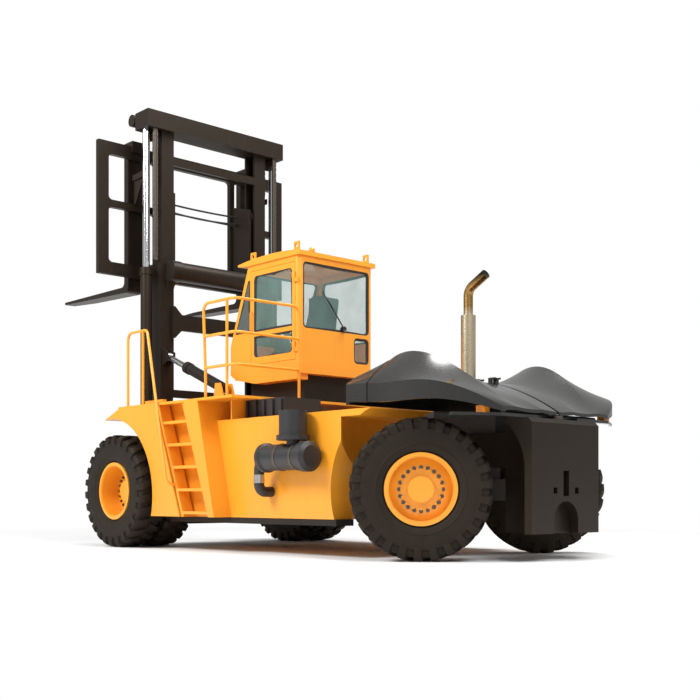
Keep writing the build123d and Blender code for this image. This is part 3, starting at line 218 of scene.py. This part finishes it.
# Soot on the stack: from steel to brown above the muffler's end, then to black at the mouth.
# Each band has its tint and how far below the mouth it starts and is full.
sootForm = {"brown": ((0.4, 0.24, 0.08), 0.62, 0.5), "black": ((0.02, 0.016, 0.012), 0.22, 0.06)}
stackTop = np.array(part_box("exhaust_stack"))[1, 2]
stackTree = finishes["stainless"].node_tree
stackShader = stackTree.nodes["Principled BSDF"]
stackTint = stackShader.inputs["Base Color"].links[0].from_socket
stackCoords = addNode(stackTree, "ShaderNodeTexCoord").outputs["Object"]
stackHeight = addNode(stackTree, "ShaderNodeSeparateXYZ", Vector=stackCoords).outputs["Z"]
for tint, start, full in sootForm.values():
    share = ramp(stackTree, stackHeight, stackTop - start, stackTop - full)
    stackTint = blendColor(stackTree, share, stackTint, tint)
stackTree.links.new(stackTint, stackShader.inputs["Base Color"])
print("finishes assigned", len(finishes))


# Cells of a grid of point numbers, four corners each
def gridQuads(index):
    corners = [index[:-1, :-1], index[1:, :-1], index[1:, 1:], index[:-1, 1:]]
    return np.stack(corners, axis=-1).reshape(-1, 4)


# New pieces are grids of points: rows run along a path, columns round a section.
# Open rows get a cap at each end, and faces are turned so that the enclosed volume is positive.
def addPiece(name, grids, finish, body, smooth=True):
    points, faces, start = [], [], 0
    for grid, closeRows, closeColumns in grids:
        rows, columns = grid.shape[:2]
        flat = grid.reshape(-1, 3)
        index = np.arange(rows * columns).reshape(rows, columns) + start
        index = np.vstack([index, index[:1]]) if closeRows else index
        index = np.hstack([index, index[:, :1]]) if closeColumns else index
        quads = gridQuads(index)
        caps = [] if closeRows else [index[0, :columns][::-1], index[-1, :columns]]
        corners = flat[quads - start]
        across = np.cross(corners[:, 2] - corners[:, 0], corners[:, 3] - corners[:, 1])
        volume = np.sum(across * (corners.mean(axis=1) - flat.mean(axis=0)))
        if volume < 0:
            quads = quads[:, ::-1]
            caps = [cap[::-1] for cap in caps]
        faces += quads.tolist() + [cap.tolist() for cap in caps]
        points.append(flat)
        start += rows * columns
    mesh = bpy.data.meshes.new(name)
    mesh.from_pydata(np.vstack(points).tolist(), [], faces)
    mesh.polygons.foreach_set("use_smooth", np.full(len(faces), smooth))
    mesh.materials.append(finishes[finish])
    piece = bpy.data.objects.new(name, mesh)
    bpy.context.collection.objects.link(piece)
    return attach(piece, body)


# A tube: circle sections square to the path's tangent, set out from z or, on a steep path, from x
def tubeGrid(path, radius, sides=10, steep=0.9):
    path = np.asarray(path)
    tangent = np.gradient(path, axis=0)
    tangent /= np.linalg.norm(tangent, axis=1)[:, None]
    helper = np.where(np.abs(tangent[:, 2:]) > steep, [[1.0, 0.0, 0.0]], [[0.0, 0.0, 1.0]])
    normal = np.cross(tangent, helper)
    normal /= np.linalg.norm(normal, axis=1)[:, None]
    second = np.cross(tangent, normal)
    turn = np.linspace(0, 2 * np.pi, sides, endpoint=False)
    ring = normal[:, None] * np.cos(turn)[None, :, None] + second[:, None] * np.sin(turn)[None, :, None]
    return path[:, None] + radius * ring


# Where each wheel stands: hub, outward axis, and the two directions square to it
joints = {joint["name"]: joint for joint in frame["record"]["behaviour"]["joints"]}


def wheelAxes(name, side):
    hub = np.array(joints[name]["pos_m"], dtype=float)
    out = np.array(joints[name]["axis"], dtype=float)
    out *= side / np.linalg.norm(out)
    ahead = np.cross(out, [0.0, 0.0, 1.0])
    return hub, out, ahead, np.array([0.0, 0.0, 1.0])


# Tyre: rows of the half profile give the offset from the middle, the radius, the lug's depth there
# and how far the lug leans out over the shoulder. Phase and raised are the steps of one lug.
tyreForm = {"lugs": 26, "slant": 0.55, "dualPitch": 0.58, "halfWidth": 0.25, "groove": 0.036, "stagger": 0.5,
            "phase": (0.0, 0.22, 0.44, 0.49, 0.72, 0.95), "raised": (0.0, 0.0, 0.0, 1.0, 1.0, 1.0),
            "profile": [(0.0, 0.893, 0.0, 0.0), (0.018, 0.893, 0.0, 0.0), (0.026, 0.893, 0.041, 0.0),
                        (0.1, 0.893, 0.041, 0.0), (0.18, 0.889, 0.043, 0.0), (0.208, 0.878, 0.046, 0.15),
                        (0.222, 0.858, 0.04, 0.45), (0.224, 0.83, 0.029, 0.85), (0.226, 0.79, 0.025, 1.0),
                        (0.242, 0.782, 0.006, 1.0), (0.247, 0.75, 0.0, 1.0), (0.25, 0.7, 0.0, 1.0),
                        (0.246, 0.64, 0.0, 1.0), (0.242, 0.6, 0.0, 1.0), (0.246, 0.592, 0.0, 1.0),
                        (0.246, 0.582, 0.0, 1.0), (0.238, 0.574, 0.0, 1.0), (0.222, 0.53, 0.0, 1.0),
                        (0.205, 0.5, 0.0, 1.0), (0.181, 0.493, 0.0, 1.0), (0.18, 0.4506, 0.0, 1.0)]}


# Lugs: each profile row is turned by the slant times its offset, and one half lags by the stagger
def tyreGrid(hub, out, ahead, up):
    half = np.array(tyreForm["profile"])
    rows = np.vstack([half[::-1] * [-1, 1, 1, -1], half[1:]])
    count = tyreForm["lugs"]
    phase = (np.arange(count)[:, None] + np.array(tyreForm["phase"])[None]).ravel()
    raised = np.tile(tyreForm["raised"], count)
    offset, radius, depth, lean = rows.T
    twist = tyreForm["slant"] * np.abs(offset) / tyreForm["halfWidth"]
    twist = twist + tyreForm["stagger"] * np.clip(offset / tyreForm["groove"] + 0.5, 0, 1)
    angle = 2 * np.pi / count * (phase[:, None] + twist[None])
    push = raised[:, None] * depth[None]
    sideways = offset[None] + push * np.sin(lean * np.pi / 2)[None]
    spoke = radius[None] + push * np.cos(lean * np.pi / 2)[None]
    return (hub + sideways[..., None] * out + (spoke * np.cos(angle))[..., None] * ahead
            + (spoke * np.sin(angle))[..., None] * up)


# Nuts in a ring on the face of the rim's disc: prisms with radius, foot, top and number of sides
nutForm = {"count": 20, "ring": 0.285,
           "prisms": {"washer": (0.027, -0.004, 0.005, 12), "nut": (0.02, 0.0, 0.026, 6)}}


def nutGrids(rim, hub, out, ahead, up):
    grids = []
    for turn in np.linspace(0, 2 * np.pi, nutForm["count"], endpoint=False):
        place = hub + nutForm["ring"] * (np.cos(turn) * ahead + np.sin(turn) * up)
        hit, spot, _, _ = nodes[rim].ray_cast(Vector(place + out), Vector(-out))
        if not hit:
            continue
        for radius, foot, top, sides in nutForm["prisms"].values():
            turns = np.linspace(0, 2 * np.pi, sides, endpoint=False)
            ring = radius * (np.cos(turns)[:, None] * ahead + np.sin(turns)[:, None] * up)
            ends = [np.array(spot) + ring + step * out for step in (foot, top)]
            grids.append((np.array(ends), False, True))
    return grids


for wheel, rim, tyreNode, body, side in [
        ("drive_roll_left", "drive_rims_left", "drive_tyres_left", "drive_wheel_left", 1),
        ("drive_roll_right", "drive_rims_right", "drive_tyres_right", "drive_wheel_right", -1),
        ("steer_roll_left", "steer_rim_left", "steer_tyre_left", "steer_wheel_left", 1),
        ("steer_roll_right", "steer_rim_right", "steer_tyre_right", "steer_wheel_right", -1)]:
    hub, out, ahead, up = wheelAxes(wheel, side)
    shifts = (-tyreForm["dualPitch"] / 2, tyreForm["dualPitch"] / 2) if "drive" in wheel else (0.0,)
    treads = [(tyreGrid(hub + shift * out, out, ahead, up), True, True) for shift in shifts]
    tyre = addPiece(tyreNode + "_tread", treads, "tyre_rubber", body, smooth=False)
    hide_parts(tyreNode)
    outerHub = hub + max(shifts) * out
    addPiece(rim + "_nuts", nutGrids(rim, outerHub, out, ahead, up), "steel", body, smooth=False)
print("wheels dressed")


# Panes of one node: triangles that share a corner are one pane, given by its centre, its axes from widest
# to thinnest and its points along them
def paneOutlines(node):
    mesh = nodes[node].data
    points = np.empty(len(mesh.vertices) * 3)
    mesh.vertices.foreach_get("co", points)
    keys, label = np.unique(np.round(points.reshape(-1, 3), 4), axis=0, return_inverse=True)
    label = label.ravel()
    triangles = np.array([[label[v] for v in polygon.vertices] for polygon in mesh.polygons])
    group = np.arange(len(keys))
    before = None
    while not np.array_equal(before, group):
        before = group.copy()
        low = group[triangles].min(axis=1)
        for column in range(3):
            np.minimum.at(group, triangles[:, column], low)
    for name in np.unique(group):
        pane = keys[group == name]
        centre = pane.mean(axis=0)
        _, _, axes = np.linalg.svd(pane - centre, full_matrices=False)
        yield centre, axes, (pane - centre) @ axes.T


# Convex outline of flat points, walked round once from the leftmost
def hull(flat):
    flat = sorted(map(tuple, flat))
    halves = []
    for order in (flat, flat[::-1]):
        chain = []
        for point in order:
            while len(chain) > 1:
                turn = np.cross(np.subtract(chain[-1], chain[-2]), np.subtract(point, chain[-2]))
                if turn > 1e-9:
                    break
                chain.pop()
            chain.append(point)
        halves += chain[:-1]
    return np.array(halves)


# Window seals: a black ring on both faces of each pane, along its outline, with a flat top and a sloped lip
sealForm = {"width": 0.04, "rise": 0.016, "flat": 0.75, "lip": 0.004, "sunk": 0.002, "steps": 120}


def sealGrids(node):
    grids = []
    for centre, axes, local in paneOutlines(node):
        loop = hull(np.round(local[:, :2], 5))
        loop = np.vstack([loop, loop[:1]])
        run = np.concatenate([[0], np.cumsum(np.linalg.norm(np.diff(loop, axis=0), axis=1))])
        steps = np.linspace(0, run[-1], sealForm["steps"], endpoint=False)
        loop = np.column_stack([np.interp(steps, run, loop[:, column]) for column in (0, 1)])
        inward = -loop / np.linalg.norm(loop, axis=1)[:, None] * sealForm["width"]
        for face in (1, -1):
            skin = face * np.abs(local[:, 2]).max()
            foot, top = skin - face * sealForm["sunk"], skin + face * sealForm["rise"]
            section = [(0.0, foot), (0.0, top), (sealForm["flat"], top), (1.0, skin + face * sealForm["lip"]),
                       (1.0, foot)]
            ring = np.stack([np.column_stack([loop + share * inward, np.full(len(loop), level)])
                             for share, level in section], axis=1)
            grids.append((centre + ring @ axes, True, True))
    return grids


for node, body in (("cab_glass", "chassis"), ("door_glass", "door")):
    addPiece(node + "_seals", sealGrids(node), "plastic", body, smooth=False)
print("window seals added")


# Quarter windows before the doors: corners as shares of the cab's length and height, a pane and its seal
quarterForm = {"corners": ((0.7, 0.36), (0.912, 0.36), (0.718, 0.86), (0.7, 0.86)), "proud": 0.006,
               "seal": 0.03, "steps": 30}
paneGrids, quarterSeals = [], []
cabSize = cabBox[1] - cabBox[0]
share = np.array(quarterForm["corners"])
for side in (1, -1):
    corners = np.column_stack([cabBox[0, 0] + share[:, 0] * cabSize[0],
                               np.full(len(share), side * cabDoorFace),
                               cabBox[0, 2] + share[:, 1] * cabSize[2]])
    edge = np.concatenate([np.linspace(a, b, quarterForm["steps"], endpoint=False)
                           for a, b in zip(corners, np.roll(corners, -1, axis=0))])
    inward = corners.mean(axis=0) - edge
    inward *= quarterForm["seal"] / np.linalg.norm(inward, axis=1)[:, None]
    lift = np.array([0.0, side * quarterForm["proud"], 0.0])
    ring = [edge - lift, edge + 2 * lift, edge + inward + 2 * lift, edge + inward - lift]
    quarterSeals.append((np.stack(ring, axis=1), True, True))
    paneEdge = edge + 0.5 * inward
    paneGrids.append((np.stack([paneEdge - lift, paneEdge + lift], axis=0), False, True))
addPiece("quarter_seals", quarterSeals, "plastic", "chassis", smooth=False)
quarterPanes = addPiece("quarter_panes", paneGrids, "glass", "chassis", smooth=False)
quarterPanes.data.materials[0] = surface("quarterGlass", (0.075, 0.1, 0.095), rough=0.08, drift=0.3,
                                         streak=0.15, dust=0.1, grain=0.01, coat=0.5)
print("quarter windows added")


# Filling: the remeshed pad is blown up as cloth from its resting face, and no point moves past the cap
paddingForm = {"voxel": 0.008, "pressure": 4.0, "frames": 20, "cap": 0.014, "rest": 0.012}


def fill(piece, origin, up):
    scene = bpy.context.scene
    remesh = piece.modifiers.new("remesh", "REMESH")
    remesh.mode = "VOXEL"
    remesh.voxel_size = paddingForm["voxel"]
    mesh = bpy.data.meshes.new_from_object(piece.evaluated_get(bpy.context.evaluated_depsgraph_get()))
    piece.modifiers.clear()
    piece.data = mesh
    before = np.empty(len(mesh.vertices) * 3)
    mesh.vertices.foreach_get("co", before)
    before = before.reshape(-1, 3)
    height = (before - np.array(origin)) @ np.array(up, dtype=float)
    resting = piece.vertex_groups.new(name="resting")
    resting.add(np.flatnonzero(height < height.min() + paddingForm["rest"]).tolist(), 1.0, "REPLACE")
    cloth = piece.modifiers.new("cloth", "CLOTH")
    cloth.settings.use_pressure = True
    cloth.settings.uniform_pressure_force = paddingForm["pressure"]
    cloth.settings.effector_weights.gravity = 0.0
    cloth.settings.vertex_group_mass = "resting"
    for step in range(1, paddingForm["frames"] + 1):
        scene.frame_set(step)
    swollen = piece.evaluated_get(bpy.context.evaluated_depsgraph_get()).to_mesh()
    after = np.empty(len(swollen.vertices) * 3)
    swollen.vertices.foreach_get("co", after)
    move = after.reshape(-1, 3) - before
    reach = np.linalg.norm(move, axis=1)[:, None]
    move *= np.minimum(1.0, paddingForm["cap"] / np.maximum(reach, 1e-9))
    piece.modifiers.clear()
    piece.vertex_groups.clear()
    mesh.vertices.foreach_set("co", (before + move).ravel())
    mesh.polygons.foreach_set("use_smooth", np.ones(len(mesh.polygons), dtype=bool))
    mesh.update()
    scene.frame_set(1)
    finer = piece.modifiers.new("finer", "SUBSURF")
    finer.levels = 1
    finer.render_levels = 1


# Cushions: a crowned top over a flat base, sides drawn in between the corners, two sewn channels along it
cushionForm = {"steps": 28, "square": 5, "draw": 0.05, "crown": 0.45, "edge": 0.35,
               "channelDeep": 0.06, "channelAt": 0.55, "channelWide": 0.05}


def cushion(name, origin, along, across, up, size):
    long, wide, thick = size
    line = np.linspace(-1, 1, cushionForm["steps"])
    s, t = np.meshgrid(line, line, indexing="ij")
    dome = np.sqrt(np.clip(1 - np.abs(s) ** cushionForm["square"], 0, 1)
                   * np.clip(1 - np.abs(t) ** cushionForm["square"], 0, 1))
    x = s * (1 - cushionForm["draw"] * (1 - t ** 2)) * long / 2
    y = t * (1 - cushionForm["draw"] * (1 - s ** 2)) * wide / 2
    channel = np.exp(-((np.abs(t) - cushionForm["channelAt"]) / cushionForm["channelWide"]) ** 2)
    crown = 1 - cushionForm["crown"] * (s ** 2 + t ** 2) / 2
    rise = (1 - cushionForm["edge"]) * dome * crown
    top = thick * (cushionForm["edge"] + rise - cushionForm["channelDeep"] * channel * dome)
    base = thick * cushionForm["edge"] * (1 - np.sqrt(dome))
    points = np.concatenate([np.stack([x, y, level], -1).reshape(-1, 3) for level in (top, base)])
    points = np.array(origin) + points @ np.array([along, across, up], dtype=float)
    index = np.arange(s.size).reshape(s.shape)
    quads = gridQuads(index)
    rim = np.concatenate([index[:, 0], index[-1, 1:], index[-2::-1, -1], index[0, -2:0:-1]])
    nextRim = np.roll(rim, -1)
    wall = np.stack([rim, rim + s.size, nextRim + s.size, nextRim], axis=-1)
    faces = np.concatenate([quads, quads[:, ::-1] + s.size, wall]).tolist()
    mesh = bpy.data.meshes.new(name)
    mesh.from_pydata(points.tolist(), [], faces)
    mesh.polygons.foreach_set("use_smooth", np.ones(len(faces), dtype=bool))
    mesh.materials.append(finishes["cloth"])
    piece = bpy.data.objects.new(name, mesh)
    bpy.context.collection.objects.link(piece)
    fill(piece, origin, up)
    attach(piece, "chassis")
    return piece


# The operator's chair: pads placed from the back of the chair and the cab's floor
chairForm = {"backInset": 0.11, "seatRise": 0.46, "seatSize": (0.5, 0.5, 0.13), "seatAhead": 0.31,
             "seatSunk": 0.03, "backWide": 0.48, "backThick": 0.12, "backShort": 0.08, "backAhead": 0.05,
             "backLift": 0.03, "backLean": math.radians(5.5)}
chairBox = np.array(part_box("operator_chair"))
chairBack = chairBox[0, 0] + chairForm["backInset"]
chairTop = chairBox[1, 2]
seatTop = cabBox[0, 2] + chairForm["seatRise"]
seatMiddle = (chairBack + chairForm["seatAhead"], 0.0, seatTop - chairForm["seatSunk"])
cushion("chair_seat_pad", seatMiddle, (1, 0, 0), (0, 1, 0), (0, 0, 1), chairForm["seatSize"])
leanSin, leanCos = math.sin(chairForm["backLean"]), math.cos(chairForm["backLean"])
backSize = (chairTop - seatTop - chairForm["backShort"], chairForm["backWide"], chairForm["backThick"])
backMiddle = (chairBack + chairForm["backAhead"], 0.0, (seatTop + chairTop) / 2 + chairForm["backLift"])
cushion("chair_back_pad", backMiddle, (-leanSin, 0, leanCos), (0, -1, 0), (leanCos, 0, leanSin), backSize)
print("cushions added")


# A short ring of four-cornered section round a cylinder, sunk a little into it
def ringGrid(centre, axis, radius, rise, width, sunk=0.004, sides=48):
    axis = np.array(axis, dtype=float)
    first = np.cross(axis, [0.0, 1.0, 0.0])
    second = np.cross(axis, first)
    turn = np.linspace(0, 2 * np.pi, sides, endpoint=False)
    circle = np.cos(turn)[:, None] * first + np.sin(turn)[:, None] * second
    inner, outer, half = radius - sunk, radius + rise, width / 2
    section = ((inner, -half), (outer, -half), (outer, half), (inner, half))
    return np.stack([np.array(centre) + r * circle + step * axis for r, step in section], axis=1)


# Bands round the air cleaner's canister and the bright sleeve round its outlet
cleanerForm = {"radius": 0.185, "fromTop": 0.64, "fromFace": 0.23, "bands": (0.27, 0.62), "bandRise": 0.006,
               "bandWide": 0.035, "outlet": 0.075, "sleeve": (0.2, 0.32), "sleeveRise": 0.005}
cleanerBox = np.array(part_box("air_cleaner"))
cleanerY = cleanerBox[1, 1] - cleanerForm["fromFace"]
cleanerZ = cleanerBox[1, 2] - cleanerForm["fromTop"]
bands = []
for step in cleanerForm["bands"]:
    band = ringGrid((cleanerBox[0, 0] + step, cleanerY, cleanerZ), (1, 0, 0), cleanerForm["radius"],
                    cleanerForm["bandRise"], cleanerForm["bandWide"])
    bands.append((band, True, True))
addPiece("cleaner_bands", bands, "steel", "chassis", smooth=False)
sleeveFoot, sleeveTop = cleanerForm["sleeve"]
sleeveX = cleanerBox[1, 0] - cleanerForm["outlet"]
sleeveZ = cleanerBox[0, 2] + (sleeveFoot + sleeveTop) / 2
sleeve = ringGrid((sleeveX, cleanerY, sleeveZ), (0, 0, 1), cleanerForm["outlet"],
                  cleanerForm["sleeveRise"], sleeveTop - sleeveFoot)
addPiece("cleaner_sleeve", [(sleeve, True, True)], "chrome_rod", "chassis", smooth=False)

# Black pipes across the carriage between its cheek plates: height above its foot and dip in the middle
pipeForm = {"rows": ((1.43, 0.02), (1.3, 0.045), (1.26, 0.0)), "halfSpan": 0.85, "fromFace": 0.2,
            "radius": 0.017, "steps": 25}
carriageBox = np.array(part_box("carriage"))
pipeX = np.full(pipeForm["steps"], carriageBox[1, 0] - pipeForm["fromFace"])
across = np.linspace(-1, 1, pipeForm["steps"])
pipes = []
for rise, dip in pipeForm["rows"]:
    pipeZ = carriageBox[0, 2] + rise - dip * (1 - across ** 2)
    line = np.stack([pipeX, across * pipeForm["halfSpan"], pipeZ], axis=1)
    pipes.append((tubeGrid(line, pipeForm["radius"]), False, True))
addPiece("carriage_pipes", pipes, "plastic", "fork_carriage")

# Rubber seal under the rear edge of the lids, lying across the counterweight and its shelves
stripForm = {"inset": 0.13, "halfSpan": 0.98, "rise": 0.052, "radius": 0.03, "steps": 41}
lidRear = min(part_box(lid)[0][0] for lid in ("hood_lid_left", "hood_lid_right"))
weightTop = np.array(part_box("counterweight"))[1, 2]
stripY = np.linspace(-stripForm["halfSpan"], stripForm["halfSpan"], stripForm["steps"])
strip = np.stack([np.full(stripForm["steps"], lidRear + stripForm["inset"]), stripY,
                  np.full(stripForm["steps"], weightTop + stripForm["rise"])], axis=1)
addPiece("lid_seal", [(tubeGrid(strip, stripForm["radius"]), False, True)], "plastic", "chassis")

# Bracket plates that carry the deck on the side boxes, just ahead of the service boxes
bracketForm = {"clear": 0.02, "thick": 0.03, "inner": 1.35, "outer": 1.9}
rearX = np.array(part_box("service_boxes"))[1, 0] + bracketForm["clear"]
frontX = rearX + bracketForm["thick"]
footZ = np.array(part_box("side_tank_left"))[1, 2]
deckZ = np.array(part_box("deck"))[0, 2]
section = [(rearX, footZ), (frontX, footZ), (frontX, deckZ), (rearX, deckZ)]
brackets = []
for side in (1, -1):
    ends = [[(x, side * y, z) for x, z in section] for y in (bracketForm["inner"], bracketForm["outer"])]
    brackets.append((np.array(ends), False, True))
addPiece("deck_brackets", brackets, "yellow_paint", "chassis", smooth=False)

# Wiper of the rear window: an arm, a blade and a motor cover, placed from the cab's rear foot
wiperForm = {"pivot": (-0.035, -0.12, 0.62), "tip": (-0.03, 0.2, 1.02), "radius": 0.011, "blade": 0.24,
             "bladeWay": (0.0, 0.5, 0.6), "bladeAhead": (0.012, 0.0, 0.0), "bladeRadius": 0.0088,
             "motor": ((0.045, 0.0, -0.01), (-0.02, 0.0, -0.01)), "motorRadius": 0.045}
rearMiddle = np.array([cabBox[0, 0], 0.0, cabBox[0, 2]])
pivot = rearMiddle + wiperForm["pivot"]
tip = rearMiddle + wiperForm["tip"]
bladeSpan = np.array(wiperForm["bladeWay"]) * wiperForm["blade"]
motorFront, motorRear = pivot + np.array(wiperForm["motor"])
bladeLine = np.linspace(tip - bladeSpan, tip + bladeSpan, 6) + wiperForm["bladeAhead"]
wiper = [(np.linspace(pivot, tip, 6), wiperForm["radius"]),
         (bladeLine, wiperForm["bladeRadius"]),
         (np.linspace(motorFront, motorRear, 3), wiperForm["motorRadius"])]
wiperGrids = [(tubeGrid(line, radius), False, True) for line, radius in wiper]
addPiece("rear_wiper", wiperGrids, "plastic", "chassis")
print("trim added")

# Floor: a pale sheet that fades into the white of the background away from the truck
floorForm = {"half": 120.0, "fadeFrom": 6.0, "fadeTo": 13.0}
floorMesh = bpy.data.meshes.new("studioFloor")
floorCorners = np.array([(-1, -1, 0), (1, -1, 0), (1, 1, 0), (-1, 1, 0)]) * floorForm["half"]
floorMesh.from_pydata(floorCorners.tolist(), [], [(0, 1, 2, 3)])
floor = bpy.data.objects.new("studioFloor", floorMesh)
bpy.context.collection.objects.link(floor)
floorFinish = surface("studioFloor", (0.9, 0.9, 0.9), rough=0.9, drift=0.02, streak=0.0, dust=0.0, grain=0.02)
floorTree = floorFinish.node_tree
away = addNode(floorTree, "ShaderNodeVectorMath", operation="LENGTH")
floorTree.links.new(addNode(floorTree, "ShaderNodeTexCoord").outputs["Object"], away.inputs[0])
glow = addNode(floorTree, "ShaderNodeEmission", Color=(1.0, 1.0, 1.0, 1.0), Strength=1.0)
fade = addNode(floorTree, "ShaderNodeMixShader")
fadeShare = ramp(floorTree, away.outputs["Value"], floorForm["fadeFrom"], floorForm["fadeTo"])
floorTree.links.new(fadeShare, fade.inputs[0])
floorTree.links.new(floorTree.nodes["Principled BSDF"].outputs[0], fade.inputs[1])
floorTree.links.new(glow.outputs[0], fade.inputs[2])
floorTree.links.new(fade.outputs[0], floorTree.nodes["Material Output"].inputs["Surface"])
floorMesh.materials.append(floorFinish)
floor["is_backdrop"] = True

# World: plain white where the camera sees it, dimmer as light on the truck
worldForm = {"fill": 0.45, "seen": 1.0}
world = bpy.data.worlds.new("studio")
bpy.context.scene.world = world
world.use_nodes = True
worldTree = world.node_tree
seen = addNode(worldTree, "ShaderNodeLightPath").outputs["Is Camera Ray"]
background = worldTree.nodes["Background"]
worldStrength = ramp(worldTree, seen, 0.0, 1.0, worldForm["fill"], worldForm["seen"])
worldTree.links.new(worldStrength, background.inputs["Strength"])
background.inputs["Color"].default_value = (1.0, 1.0, 1.0, 1.0)

# Lamps of the studio: place, the point that each faces, diameter and watts
lightForm = {"keyLight": ((2.0, 15.0, 13.0), (-0.5, 0.0, 2.0), 7.0, 3000.0),
             "skyLight": ((-4.0, -3.0, 16.0), (-3.0, 0.0, 2.0), 9.0, 2200.0),
             "rearFill": ((-13.0, 3.0, 12.0), (-1.0, 0.0, 3.0), 6.0, 1050.0)}
for name, (place, aim, size, power) in lightForm.items():
    light = bpy.data.lights.new(name, "AREA")
    light.shape = "DISK"
    light.size = size
    light.energy = power
    holder = bpy.data.objects.new(name, light)
    bpy.context.collection.objects.link(holder)
    holder.location = place
    holder.rotation_euler = (Vector(aim) - Vector(place)).to_track_quat("-Z", "Y").to_euler()

# Camera of the photograph: level, at eye height behind the left rear corner
photoPixels = 700.0
focalPixels = 1101.61
horizonPixel = 496.68
cameraYaw = math.radians(180.0 + 47.55)
cameraFromHub = Vector((-16.16, 11.80, 0.84))
camera = bpy.data.cameras.new("photoCamera")
camera.sensor_width = 36.0
camera.lens = camera.sensor_width * focalPixels / photoPixels
camera.shift_y = (horizonPixel - photoPixels / 2) / photoPixels
camera.clip_end = 300.0
cameraHolder = bpy.data.objects.new("photoCamera", camera)
bpy.context.collection.objects.link(cameraHolder)
cameraHolder.location = Vector((frontHub[0], 0.0, 0.0)) + cameraFromHub
cameraHolder.rotation_euler = (math.pi / 2, 0.0, cameraYaw)
bpy.context.scene.camera = cameraHolder
bpy.context.scene.view_settings.view_transform = "Standard"
print("stage set")

newBox = [list(corner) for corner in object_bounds()]
({"cad": [[float(v) for v in corner] for corner in cadBox],
           "new": [[float(v) for v in corner] for corner in newBox]})
